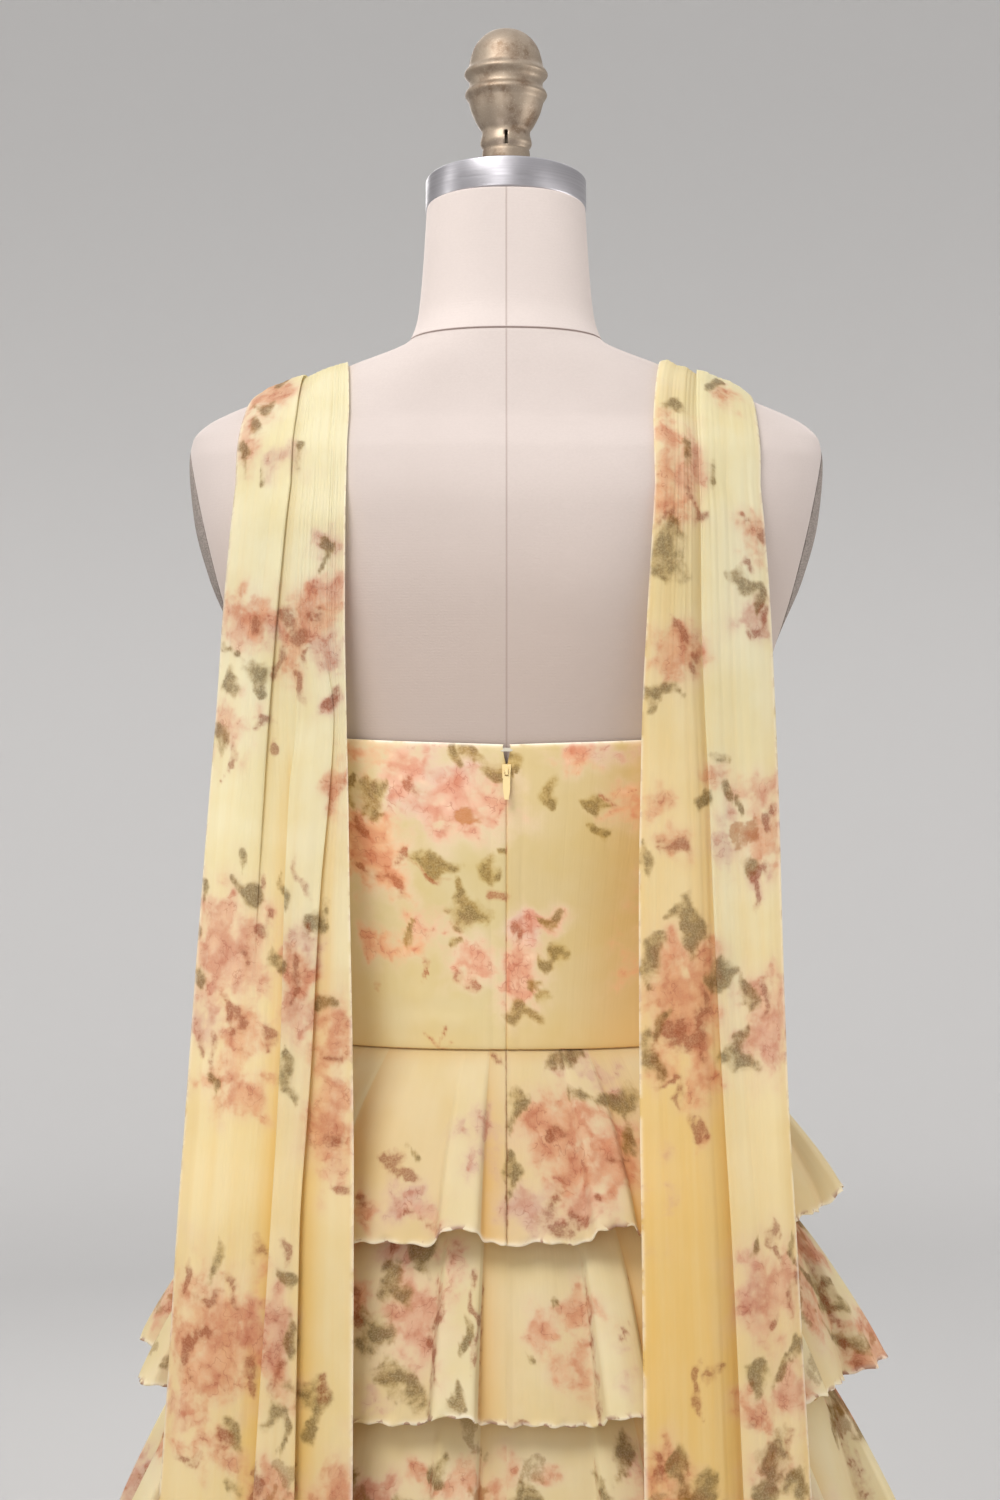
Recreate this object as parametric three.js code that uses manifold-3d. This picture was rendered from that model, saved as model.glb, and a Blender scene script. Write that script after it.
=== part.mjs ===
// A short tiered chiffon dress with two long shoulder drapes, standing on a limbless dress form.
// Millimetres, +Z up, the wearer's front towards -Y, the wearer's left towards +X.
// The origin is on the floor, at the centre of the stand's base.
import * as THREE from "three";
import { mergeVertices } from "three/addons/utils/BufferGeometryUtils.js";
import Module from "manifold-3d";

const wasm = await Module();
wasm.setup();

// ---------- Driving dimensions ----------
const WAIST = 1050; // height of the waist seam above the floor
const SEAM_GAP = 0.3; // between two pieces that are sewn or rest together
const CLEARANCE = 1.4; // between the dress form and the cloth on it
const BODICE_WALL = 2.4; // chiffon over its lining
const CHIFFON_WALL = 1.4;
const SQUARENESS = 2.3; // exponent of every level outline: 2 is an ellipse

const NECK_SEAM = 420; // heights above the waist, as all those below
const NECK_TOP = 497;
const FORM_BOTTOM = -262;
const ARM_CUT = { top: 353, topHalf: 190.6, bottom: 234, bottomHalf: 162.4, armpit: 215, reach: 300 };
const BUST = { apart: 76, height: 172, out: 15, wide: 44, tall: 52 };

// Level outlines of the dress form: half width at the sides, depth to the front and to the back.
const FORM = [
  { height: FORM_BOTTOM, side: 168, front: 103, back: 107 },
  { height: -200, side: 173, front: 107, back: 113 },
  { height: -120, side: 160, front: 103, back: 102 },
  { height: -60, side: 136, front: 96, back: 87 },
  { height: 0, side: 118, front: 90, back: 78 },
  { height: 60, side: 125, front: 94, back: 84 },
  { height: 120, side: 138, front: 104, back: 94 },
  { height: 176, side: 148, front: 114, back: 101 },
  { height: 234, side: 163, front: 110, back: 107 },
  { height: 275, side: 180, front: 103, back: 110 },
  { height: 311, side: 189.5, front: 94, back: 108 },
  { height: 345, side: 192.5, front: 80, back: 97 },
  { height: 359, side: 190.5, front: 68, back: 83 },
  { height: 367, side: 184, front: 61, back: 74 },
  { height: 385, side: 145, front: 54, back: 66 },
  { height: 403, side: 98, front: 50, back: 61 },
  { height: NECK_SEAM, side: 59, front: 48, back: 56 },
  { height: 436, side: 53.5, front: 47.5, back: 51 },
  { height: 465, side: 50.5, front: 48, back: 49 },
  { height: NECK_TOP, side: 48.4, front: 48.4, back: 48.4 },
];

// Where the form's rings and columns of points lie. The bodice follows them, so that it clears it.
const FORM_COLUMNS = 36;
const BODICE_ROWS = [0, 40, 80, 115, 145];
const TOP_ROWS = 3; // from the last of those rows to the neckline
const TORSO_HEIGHTS = [
  ...[FORM_BOTTOM, -225, -180, -130, -85, -40, ...BODICE_ROWS, 170, 190, 206, 222, 245, 275, 305],
  ...[330, 347, 359, 367, 376, 385, 394, 403, 411, NECK_SEAM - SEAM_GAP],
];
const NECK_COLUMNS = 32;
const NECK_HEIGHTS = [NECK_SEAM, 428, 442, 465, NECK_TOP];
const PERIMETER = 760; // of the bodice, to turn a seam's gap into a share of the way round
const HALF_SEAM = SEAM_GAP / 2 / PERIMETER;

// Level outlines of the underskirt, which carries the tiers.
const UNDERSKIRT = [
  { height: 0, side: 119.3, front: 91.3, back: 79.3 },
  { height: -60, side: 141, front: 101, back: 91 },
  { height: -120, side: 166, front: 111, back: 106 },
  { height: -200, side: 184, front: 121, back: 119 },
  { height: -300, side: 205, front: 136, back: 134 },
  { height: -400, side: 224, front: 150, back: 148 },
];
const UNDERSKIRT_HEM = -392;

// The tiers, from the waist down: where each is sewn on, where it ends, its outline there,
// how far its flutes stand out at the hem, how far they lift it and how uneven it is.
const TIERS = [
  { name: "tier_1", top: 0, hem: -106, side: 189, front: 134, back: 124, flute: 6, lift: 10, sway: 1.5 },
  { name: "tier_2", top: -86, hem: -208, side: 202, front: 150, back: 139, flute: 13, lift: 8, sway: 2 },
  { name: "tier_3", top: -188, hem: -310, side: 217, front: 165, back: 154, flute: 14, lift: 7, sway: 2.5 },
  { name: "tier_4", top: -290, hem: -412, side: 230, front: 180, back: 169, flute: 13.5, lift: 6, sway: 3 },
];
// How a tier stands out on its way down: share of its height, share of its flare.
const FLARE = [
  { at: 0, out: 0 },
  { at: 0.3, out: 0.5 },
  { at: 0.58, out: 0.8 },
  { at: 0.86, out: 1 },
  { at: 1, out: 0.95 },
];
const FLUTES = 12; // box folds in each tier, one above the other
const FIRST_FLUTE = 0.025; // share of the way round from the centre back
const FLUTE_DRIFT = 0.01; // unevenness of the flutes' places, as a share of the way round
const SIDE_FULLNESS = 0.9; // how much deeper the flutes are at the sides than at the back
const FLUTE_UNEVEN = 0.15; // how much deeper or shallower a flute may be than the next
// One repeat, from the middle of a flute to the next: share of the repeat, and how far out it stands.
const FLUTE_SHAPE = [
  { at: 0, out: 1.05 },
  { at: 0.11, out: 1 },
  { at: 0.155, out: 0.03 },
  { at: 0.5, out: 0.14 },
  { at: 0.845, out: 0.03 },
  { at: 0.89, out: 1 },
];

// The bodice's top edge, by the share of the way round from the centre back to the centre front.
const NECKLINE = [
  { share: 0, height: 175 },
  { share: 0.1, height: 178 },
  { share: 0.2, height: 186 },
  { share: 0.26, height: 191 },
  { share: 0.33, height: 207 },
  { share: 0.365, height: 222 },
  { share: 0.425, height: 222 },
  { share: 0.455, height: 207 },
  { share: 0.5, height: 194 },
];
const STRAP_FOOT = 222;
const NOTCH = { foot: 160, half: 2.2 }; // at the centre back, above the zip

// The surface that the drapes hang on, from the shoulder blades down over the tiers.
const HANG = [
  { height: 330, side: 192.3, back: 103.2 },
  { height: 300, side: 195, back: 113 },
  { height: 256, side: 200, back: 115 },
  { height: 172, side: 206, back: 116 },
  { height: 33, side: 216, back: 119 },
  { height: -40, side: 224, back: 128 },
  { height: -90, side: 232, back: 141 },
  { height: -190, side: 246, back: 159 },
  { height: -290, side: 260, back: 176 },
  { height: -395, side: 274, back: 194 },
  { height: -490, side: 284, back: 204 },
];
const SHOULDER_PIVOT = 330; // height of the line that the straps turn over
const DRAPE_HEM = -486;
// Where the rows of points lie: up the strap, over the shoulder (a count) and down the drape.
const STRAP_ROWS = [STRAP_FOOT + SEAM_GAP, 250, 280, 308];
const OVER_ROWS = 14;
const HANG_ROWS = [322, 300, 262, 222, 172, 115, 55, -5, -65, -123, -180, -240, -320, -400, DRAPE_HEM];
const FOLD_DEPTH = { shoulder: 0.8, hem: 1.1 }; // a fold's depth in its table is multiplied by this

// The straps, up the front and over the shoulder: their edges, and their folds' share of the depth
// that they have in the drape. A lean of -90 is straight forward from the pivot line.
const STRAP_UP = [
  { height: STRAP_FOOT, inner: 70, outer: 116, depth: 0.25 },
  { height: 262, inner: 78, outer: 127, depth: 0.4 },
  { height: 300, inner: 86, outer: 136, depth: 0.5 },
  { height: SHOULDER_PIVOT, inner: 92, outer: 142, depth: 0.5 },
];
const STRAP_OVER = [
  { lean: -90, inner: 92, outer: 142, depth: 0.5 },
  { lean: -40, inner: 97, outer: 145, depth: 0.55 },
  { lean: 0, inner: 98, outer: 145, depth: 0.6 },
  { lean: 40, inner: 95, outer: 146, depth: 0.7 },
  { lean: 82, inner: 91, outer: 148, depth: 0.75 },
];

// The two drapes: their edges at each height, and their folds. A fold's place is a share of the
// width from the inner edge, at the shoulder and at the hem; out is in millimetres.
const DRAPES = [
  {
    name: "drape_left",
    hand: 1,
    edges: [
      { height: 330, inner: 91, outer: 152 },
      { height: 256, inner: 91, outer: 164 },
      { height: 172, inner: 90, outer: 168 },
      { height: 33, inner: 86, outer: 179 },
      { height: -123, inner: 84, outer: 188 },
      { height: -231, inner: 83, outer: 193 },
      { height: -490, inner: 80, outer: 206 },
    ],
    folds: [
      { shoulder: 0, hem: 0, out: 0.5 },
      { shoulder: 0.09, hem: 0.14, out: 1.5 },
      { shoulder: 0.15, hem: 0.25, out: 0 },
      { shoulder: 0.19, hem: 0.29, out: 6.5 },
      { shoulder: 0.29, hem: 0.37, out: 8 },
      { shoulder: 0.4, hem: 0.45, out: 6 },
      { shoulder: 0.44, hem: 0.49, out: 0 },
      { shoulder: 0.49, hem: 0.55, out: 0.5 },
      { shoulder: 0.53, hem: 0.59, out: 7 },
      { shoulder: 0.63, hem: 0.68, out: 9 },
      { shoulder: 0.77, hem: 0.8, out: 5.5 },
      { shoulder: 0.89, hem: 0.9, out: 6.5 },
      { shoulder: 1, hem: 1, out: 3 },
    ],
  },
  {
    name: "drape_right",
    hand: -1,
    edges: [
      { height: 330, inner: 86, outer: 145 },
      { height: 256, inner: 79, outer: 152 },
      { height: 172, inner: 75, outer: 154 },
      { height: 33, inner: 74, outer: 157 },
      { height: -123, inner: 74, outer: 163 },
      { height: -231, inner: 74, outer: 166 },
      { height: -490, inner: 72, outer: 176 },
    ],
    folds: [
      { shoulder: 0, hem: 0, out: 1 },
      { shoulder: 0.07, hem: 0.09, out: 4.5 },
      { shoulder: 0.16, hem: 0.21, out: 5.5 },
      { shoulder: 0.26, hem: 0.34, out: 3 },
      { shoulder: 0.33, hem: 0.46, out: 1 },
      { shoulder: 0.37, hem: 0.53, out: 0 },
      { shoulder: 0.41, hem: 0.57, out: 8 },
      { shoulder: 0.5, hem: 0.65, out: 9.5 },
      { shoulder: 0.63, hem: 0.74, out: 7 },
      { shoulder: 0.78, hem: 0.84, out: 6 },
      { shoulder: 0.9, hem: 0.93, out: 5.5 },
      { shoulder: 1, hem: 1, out: 2 },
    ],
  },
];

// The zip's slider: a plate with a bridge, bored for the pull's pin.
const SLIDER = { top: 164, long: 8, wide: 5, thick: 1.6, bridge: 1.6, bridgeHigh: 3.8, bridgeOut: 4.4 };
const PIN = { drop: 4, out: 2.9, radius: 0.5, hole: 0.85, sides: 10 };
const PULL = { long: 16, wide: 4.4, tip: 2.2, thick: 1.1, armIn: 1.15, armOut: 1.95, shank: 2.6 };
const HOOK = { height: 172.2, long: 7, wide: 2, thick: 0.9 };

const CAP = { radius: 49, high: 19.5, bevel: 1.2 };
const BASE = { radius: 200, high: 16, rim: 5, foot: 1 };
const POLE_RADIUS = 16;
const COLLAR = { radius: 30, high: 34, mouth: 22, taper: 8 }; // between the pole and the form

// The knob that lifts the form off its pole: radius and height above the cap.
const FINIAL = [
  [0, 0], [14.2, 0], [14.2, 6], [15.6, 9], [14.6, 12.5], [15.4, 19], [18.6, 26], [21, 34],
  [22, 43], [24.6, 46.5], [24.6, 49.5], [22, 53], [22, 56], [25.2, 59.5], [25.2, 62.5], [22.4, 66],
  [21.8, 72], [19.6, 79], [15, 84.5], [8, 87.8], [0, 88.6],
];
const FINIAL_SLOT = { wide: 2.4, floor: 11, out: 30, low: 9.5, high: 18 }; // a keyhole at the back

// ---------- Materials ----------
const finish = (color, roughness, metalness = 0) =>
  new THREE.MeshStandardMaterial({ color, roughness, metalness });
const CHIFFON = finish(0xf2e2b0, 0.9);
const LINED_CHIFFON = finish(0xecd6a0, 0.85);
const FORM_JERSEY = finish(0xe9e0db, 0.95);
const ARM_LINEN = finish(0xa59b95, 0.95);
const BRUSHED_METAL = finish(0xb9b9bf, 0.35, 1);
const FINIAL_PAINT = finish(0xa8957c, 0.4, 0.6);
const STAND_PAINT = finish(0xd9d6d2, 0.5);
const ZIP_ENAMEL = finish(0xf0dfae, 0.45);
const HOOK_WIRE = finish(0xc8c4b4, 0.35, 1);

// ---------- Tables and outlines ----------
// A column of a table at any place, along a smooth curve that never overshoots its rows.
function column(rows, key, name, place) {
  const down = rows[0][key] > rows[rows.length - 1][key];
  const list = down ? [...rows].reverse() : rows;
  const last = list.length - 1;
  if (place <= list[0][key]) return list[0][name];
  if (place >= list[last][key]) return list[last][name];
  const slope = (i) => (list[i + 1][name] - list[i][name]) / (list[i + 1][key] - list[i][key]);
  const tangent = (i) => {
    if (i === 0) return slope(0);
    if (i === last) return slope(last - 1);
    const before = slope(i - 1);
    const after = slope(i);
    return before * after <= 0 ? 0 : (2 * before * after) / (before + after);
  };
  const i = list.findIndex((row) => row[key] > place) - 1;
  const span = list[i + 1][key] - list[i][key];
  const t = (place - list[i][key]) / span;
  const rise = list[i + 1][name] - list[i][name];
  const start = tangent(i) * span;
  const end = tangent(i + 1) * span;
  const square = 3 * rise - 2 * start - end;
  const cube = start + end - 2 * rise;
  return list[i][name] + t * (start + t * (square + t * cube));
}

const levelOf = (rows, height) => ({
  side: column(rows, "height", "side", height),
  front: column(rows, "height", "front", height),
  back: column(rows, "height", "back", height),
});

const signedPower = (value, power) => Math.sign(value) * Math.abs(value) ** power;

function outlineAt(level, angle) {
  const depth = Math.cos(angle) > 0 ? level.back : level.front;
  const power = 2 / SQUARENESS;
  return [level.side * signedPower(Math.sin(angle), power), depth * signedPower(Math.cos(angle), power)];
}

// The points of an outline at even shares of its length, from the centre back towards the left.
function outline(level, shares, out = 0) {
  const steps = 360;
  const walked = [0];
  const points = [outlineAt(level, 0)];
  for (let i = 1; i <= steps; i++) {
    points.push(outlineAt(level, (2 * Math.PI * i) / steps));
    walked.push(walked[i - 1] + Math.hypot(points[i][0] - points[i - 1][0], points[i][1] - points[i - 1][1]));
  }
  return shares.map((share) => {
    const goal = share * walked[steps];
    const i = Math.min(steps, Math.max(1, walked.findIndex((length) => length >= goal)));
    const t = (goal - walked[i - 1]) / (walked[i] - walked[i - 1]);
    const x = points[i - 1][0] + t * (points[i][0] - points[i - 1][0]);
    const y = points[i - 1][1] + t * (points[i][1] - points[i - 1][1]);
    const depth = y > 0 ? level.back : level.front;
    const normal = [
      signedPower(x / level.side, SQUARENESS - 1) / level.side,
      signedPower(y / depth, SQUARENESS - 1) / depth,
    ];
    const size = Math.hypot(...normal);
    return [x + (normal[0] / size) * out, y + (normal[1] / size) * out];
  });
}

// How far the bust stands out in front of the plain outline.
function bustOut(x, height) {
  const across = (Math.abs(x) - BUST.apart) / BUST.wide;
  const up = (height - BUST.height) / BUST.tall;
  return BUST.out * Math.exp(-across * across - up * up);
}

// A ring of the dress form, moved out by a distance.
function formRing(height, shares, out = 0) {
  return outline(levelOf(FORM, height), shares, out).map(([x, y]) => [
    x,
    y < 0 ? y - bustOut(x, height) * Math.min(1, -y / BUST.wide) : y,
    WAIST + height,
  ]);
}

const shareSteps = (count) => Array.from({ length: count }, (_, i) => i / count);
const ramp = (count, from, to) =>
  Array.from({ length: count + 1 }, (_, i) => from + ((to - from) * i) / count);
const mix = (from, to, t) => from + (to - from) * t;

// ---------- Solids from grids of points ----------
function geometryOf(points, triangles) {
  const geometry = new THREE.BufferGeometry();
  geometry.setAttribute("position", new THREE.Float32BufferAttribute(points.flat(), 3));
  let volume = 0;
  for (const [a, b, c] of triangles) {
    volume += new THREE.Vector3(...points[a])
      .cross(new THREE.Vector3(...points[b]))
      .dot(new THREE.Vector3(...points[c]));
  }
  geometry.setIndex(triangles.flatMap(([a, b, c]) => (volume < 0 ? [a, c, b] : [a, b, c])));
  geometry.computeVertexNormals();
  return geometry;
}

// A solid through rings of equal counts, closed by a fan at each end.
function loft(rings) {
  const count = rings[0].length;
  const points = rings.flat();
  const triangles = [];
  for (let r = 0; r + 1 < rings.length; r++) {
    for (let c = 0; c < count; c++) {
      const [a, b] = [r * count + c, r * count + ((c + 1) % count)];
      triangles.push([a, b, a + count], [b, b + count, a + count]);
    }
  }
  for (const [ring, turned] of [[0, true], [rings.length - 1, false]]) {
    const middle = points.length;
    const start = ring * count;
    points.push([0, 1, 2].map((k) => rings[ring].reduce((sum, p) => sum + p[k], 0) / count));
    for (let c = 0; c < count; c++) {
      const [a, b] = [start + c, start + ((c + 1) % count)];
      triangles.push(turned ? [b, a, middle] : [a, b, middle]);
    }
  }
  return geometryOf(points, triangles);
}

// A cloth wall between an outer and an inner grid, grid[row][column]. A round wall closes on itself.
function wall(outer, inner, round) {
  const rows = outer.length;
  const columns = outer[0].length;
  const points = [...outer.flat(), ...inner.flat()];
  const at = (side, r, c) => side * rows * columns + r * columns + (c % columns);
  const triangles = [];
  const quad = (a, b, c, d) => triangles.push([a, b, c], [a, c, d]);
  const spans = round ? columns : columns - 1;
  for (let r = 0; r + 1 < rows; r++) {
    for (let c = 0; c < spans; c++) {
      quad(at(0, r, c), at(0, r + 1, c), at(0, r + 1, c + 1), at(0, r, c + 1));
      quad(at(1, r, c), at(1, r, c + 1), at(1, r + 1, c + 1), at(1, r + 1, c));
    }
    if (!round) {
      quad(at(0, r, 0), at(1, r, 0), at(1, r + 1, 0), at(0, r + 1, 0));
      const c = columns - 1;
      quad(at(0, r, c), at(0, r + 1, c), at(1, r + 1, c), at(1, r, c));
    }
  }
  for (let c = 0; c < spans; c++) {
    quad(at(0, 0, c), at(0, 0, c + 1), at(1, 0, c + 1), at(1, 0, c));
    const r = rows - 1;
    quad(at(0, r, c), at(1, r, c), at(1, r, c + 1), at(0, r, c + 1));
  }
  return geometryOf(points, triangles);
}

// A wall of a given thickness on both sides of a grid, square to the cloth at each point.
function thicken(grid, thickness, round) {
  const columns = grid[0].length;
  const vector = (p) => new THREE.Vector3(...p);
  const normalAt = (r, c) => {
    const [before, after] = round
      ? [(c + columns - 1) % columns, (c + 1) % columns]
      : [Math.max(0, c - 1), Math.min(columns - 1, c + 1)];
    const here = vector(grid[r][c]);
    const up = vector(grid[Math.max(0, r - 1)][c]);
    const down = vector(grid[Math.min(grid.length - 1, r + 1)][c]).sub(up);
    const normal = new THREE.Vector3();
    for (const [from, to] of [[vector(grid[r][before]), here], [here, vector(grid[r][after])]]) {
      const along = to.clone().sub(from);
      if (along.length() > 0) normal.add(along.normalize().cross(down).normalize());
    }
    return normal.normalize();
  };
  const shifted = (distance) =>
    grid.map((row, r) =>
      row.map((p, c) => vector(p).addScaledVector(normalAt(r, c), distance).toArray()),
    );
  return wall(shifted(thickness / 2), shifted(-thickness / 2), round);
}

// ---------- Cutting and joining ----------
function solidOf(geometry) {
  const bare = (geometry.index ? geometry.toNonIndexed() : geometry.clone()).deleteAttribute("normal");
  const merged = mergeVertices(bare.deleteAttribute("uv"), 1e-3);
  return new wasm.Manifold(
    new wasm.Mesh({
      numProp: 3,
      vertProperties: merged.attributes.position.array,
      triVerts: new Uint32Array(merged.index.array),
    }),
  );
}

function geometryFrom(solid) {
  const mesh = solid.getMesh();
  const geometry = new THREE.BufferGeometry();
  geometry.setAttribute("position", new THREE.Float32BufferAttribute(mesh.vertProperties, 3));
  geometry.setIndex(new THREE.BufferAttribute(mesh.triVerts, 1));
  geometry.computeVertexNormals();
  return geometry;
}

const cut = (geometry, tool) => geometryFrom(solidOf(geometry).subtract(solidOf(tool)));
const keep = (geometry, tool) => geometryFrom(solidOf(geometry).intersect(solidOf(tool)));
const join = (...geometries) =>
  geometryFrom(geometries.map(solidOf).reduce((whole, piece) => whole.add(piece)));

function brick(low, high) {
  const size = high.map((value, k) => value - low[k]);
  const box = new THREE.BoxGeometry(...size);
  return box.translate(...low.map((value, k) => value + size[k] / 2));
}

// ---------- The dress form and its stand ----------
const FORM_SHARES = shareSteps(FORM_COLUMNS);

// The space outside the armhole's leaning plane, on one side and above the armpit. The plane and
// the armpit are both moved by a distance.
function armSide(hand, moved) {
  const lean = Math.atan2(ARM_CUT.topHalf - ARM_CUT.bottomHalf, ARM_CUT.top - ARM_CUT.bottom);
  const { reach, armpit } = ARM_CUT;
  const box = brick([0, -reach, -reach], [reach, reach, reach]).rotateY(lean);
  const middle = (ARM_CUT.top + ARM_CUT.bottom) / 2;
  box.translate((ARM_CUT.topHalf + ARM_CUT.bottomHalf) / 2 + moved, 0, WAIST + middle);
  const above = brick([-reach, -reach, WAIST + armpit + moved], [reach, reach, WAIST + 2 * armpit]);
  return keep(hand > 0 ? box : box.rotateZ(Math.PI), above);
}

const wholeTorso = () => loft(TORSO_HEIGHTS.map((height) => formRing(height, FORM_SHARES)));
const torso = () => [1, -1].reduce((body, hand) => cut(body, armSide(hand, 0)), wholeTorso());
const armPlate = (hand) => keep(wholeTorso(), armSide(hand, SEAM_GAP));

const neck = () =>
  loft(NECK_HEIGHTS.map((height) => formRing(height, shareSteps(NECK_COLUMNS))));

// A turned piece: its profile gives radius and height, from the axis back to the axis.
function turned(profile, around) {
  const points = profile.map(([radius, height]) => new THREE.Vector2(radius, height));
  const geometry = new THREE.LatheGeometry(points, around).rotateX(Math.PI / 2);
  return geometryOf(
    Array.from({ length: geometry.attributes.position.count }, (_, i) =>
      new THREE.Vector3().fromBufferAttribute(geometry.attributes.position, i).toArray(),
    ),
    Array.from({ length: geometry.index.count / 3 }, (_, i) =>
      [0, 1, 2].map((k) => geometry.index.getX(3 * i + k)),
    ),
  );
}

function neckCap() {
  const { radius, high, bevel } = CAP;
  const low = WAIST + NECK_TOP + SEAM_GAP;
  const top = low + high;
  return turned([[0, low], [radius, low], [radius, top - bevel], [radius - bevel, top], [0, top]], 40);
}

function finial() {
  const foot = WAIST + NECK_TOP + CAP.high + 2 * SEAM_GAP;
  const knob = turned(FINIAL.map(([radius, height]) => [radius, foot + height]), 22);
  const { wide, floor, out, low, high } = FINIAL_SLOT;
  return cut(knob, brick([-wide / 2, floor, foot + low], [wide / 2, out, foot + high]));
}

function base() {
  const { radius, high, rim, foot } = BASE;
  const lower = [[0, 0], [radius - foot, 0], [radius, foot]];
  return turned([...lower, [radius, high - rim], [radius - rim, high], [0, high]], 48);
}

function pole() {
  const low = BASE.high + SEAM_GAP;
  const high = WAIST + FORM_BOTTOM - COLLAR.high - 2 * SEAM_GAP;
  return turned([[0, low], [POLE_RADIUS, low], [POLE_RADIUS, high], [0, high]], 24);
}

function poleCollar() {
  const { radius, mouth, taper } = COLLAR;
  const high = WAIST + FORM_BOTTOM - SEAM_GAP;
  const low = high - COLLAR.high;
  return turned([[0, low], [mouth, low], [radius, low + taper], [radius, high], [0, high]], 24);
}

// ---------- The bodice ----------
// One panel between two of the form's columns, from the waist seam to the neckline. The edges at
// the centre back part in a small notch above the zip.
function bodicePanel(from, to) {
  const shares = ramp(to - from, from / FORM_COLUMNS, to / FORM_COLUMNS);
  shares[0] += HALF_SEAM;
  shares[shares.length - 1] -= HALF_SEAM;
  const atCentreBack = (share) => Math.min(share, 1 - share) < 2 * HALF_SEAM;
  const point = (share, row, out) => {
    const top = column(NECKLINE, "share", "height", Math.min(share, 1 - share));
    const straight = BODICE_ROWS.length - 1;
    const low = Math.max(SEAM_GAP, BODICE_ROWS[Math.min(row, straight)]);
    const height = mix(low, top, Math.max(0, row - straight) / TOP_ROWS);
    const parted = NOTCH.half * Math.max(0, (height - NOTCH.foot) / (top - NOTCH.foot));
    const shift = atCentreBack(share) ? (Math.sign(0.5 - share) * parted) / PERIMETER : 0;
    return formRing(height, [share + shift], out)[0];
  };
  const grid = (out) =>
    Array.from({ length: BODICE_ROWS.length + TOP_ROWS }, (_, row) =>
      shares.map((share) => point(share, row, out)),
    );
  return wall(grid(CLEARANCE + BODICE_WALL), grid(CLEARANCE), false);
}

// The panels, by the columns of the form that their seams follow.
const BODICE = [
  { name: "bodice_back_left", from: 0, to: 9 },
  { name: "bodice_side_left", from: 9, to: 14 },
  { name: "bodice_front", from: 14, to: 22 },
  { name: "bodice_side_right", from: 22, to: 27 },
  { name: "bodice_back_right", from: 27, to: 36 },
];

// ---------- The skirt ----------
function underskirt() {
  const shares = fluteColumns(0).map(({ share }) => share);
  const heights = [...TIERS.map(({ top }) => top - SEAM_GAP), UNDERSKIRT_HEM];
  const grid = heights.map((height) =>
    outline(levelOf(UNDERSKIRT, height), shares).map(([x, y]) => [x, y, WAIST + height]),
  );
  return thicken(grid, CHIFFON_WALL, true);
}

// A repeatable unevenness between -1 and 1, for one flute of one tier.
function uneven(index, salt) {
  const wave = Math.sin(index * 12.9898 + salt * 78.233) * 43758.5453;
  return 2 * (wave - Math.floor(wave)) - 1;
}

// The columns of a tier: where each lies round the skirt, and how far out it stands.
function fluteColumns(salt) {
  const drift = (index) => (index % FLUTES === 0 ? 0 : FLUTE_DRIFT * uneven(index, 1));
  const start = (index) => FIRST_FLUTE + index / FLUTES + drift(index);
  return Array.from({ length: FLUTES }, (_, index) => {
    const deep = 1 + FLUTE_UNEVEN * uneven(index, salt + 2);
    return FLUTE_SHAPE.map(({ at, out }) => {
      const share = mix(start(index), start(index + 1), at) % 1;
      const full = 1 + SIDE_FULLNESS * Math.sin(2 * Math.PI * share) ** 2;
      return { share, out: out * deep * full, lift: Math.min(out, 1), index };
    });
  })
    .flat()
    .sort((a, b) => a.share - b.share);
}

function tierGrid(tier, salt, columns) {
  const foot = levelOf(UNDERSKIRT, tier.top);
  const room = CHIFFON_WALL + SEAM_GAP;
  return FLARE.map(({ at: t, out: flare }) => {
    const level = {
      side: mix(foot.side + room, tier.side, flare),
      front: mix(foot.front + room, tier.front, flare),
      back: mix(foot.back + room, tier.back, flare),
    };
    return columns.map(({ share, out, lift, index }) => {
      const [x, y] = outline(level, [share], tier.flute * t * out)[0];
      const hem = tier.hem + tier.lift * lift + tier.sway * uneven(index, salt + 5);
      return [x, y, WAIST + mix(tier.top - SEAM_GAP, hem, t)];
    });
  });
}

// The upper tier is open at the centre back, under the end of the zip. The others are closed.
function tierShell(tier, salt) {
  const columns = fluteColumns(salt);
  if (tier.top < 0) return thicken(tierGrid(tier, salt, columns), CHIFFON_WALL, true);
  const middle = { ...columns[columns.length - 1], out: 0, lift: 0 };
  const ends = [HALF_SEAM, 1 - HALF_SEAM].map((share) => ({ ...middle, share }));
  return thicken(tierGrid(tier, salt, [ends[0], ...columns, ends[1]]), CHIFFON_WALL, false);
}

// ---------- The straps and drapes ----------
// How far back, or forward, the dress form reaches at a point across and up.
function formDepth(x, height, backwards) {
  const level = levelOf(FORM, height);
  const room = 1 - Math.abs(x / level.side) ** SQUARENESS;
  if (room <= 0) return 0;
  const depth = (backwards ? level.back : level.front) * room ** (1 / SQUARENESS);
  return backwards ? depth : depth + bustOut(x, height) * Math.min(1, depth / BUST.wide);
}

// Where a ray from the pivot line leaves the dress form: its distance from that line.
function castOut(x, height, lean) {
  const [back, up] = [Math.sin(lean), Math.cos(lean)];
  const inside = (distance) =>
    formDepth(x, height + distance * up, back > 0) > Math.abs(distance * back) &&
    Math.abs(x) < levelOf(FORM, height + distance * up).side;
  let [near, far] = [0, 200];
  for (let i = 0; i < 40; i++) {
    const middle = (near + far) / 2;
    if (inside(middle)) near = middle;
    else far = middle;
  }
  return near;
}

function hangDepth(x, height) {
  const side = column(HANG, "height", "side", height);
  const back = column(HANG, "height", "back", height);
  return back * (1 - Math.abs(x / side) ** SQUARENESS) ** (1 / SQUARENESS);
}

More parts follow.
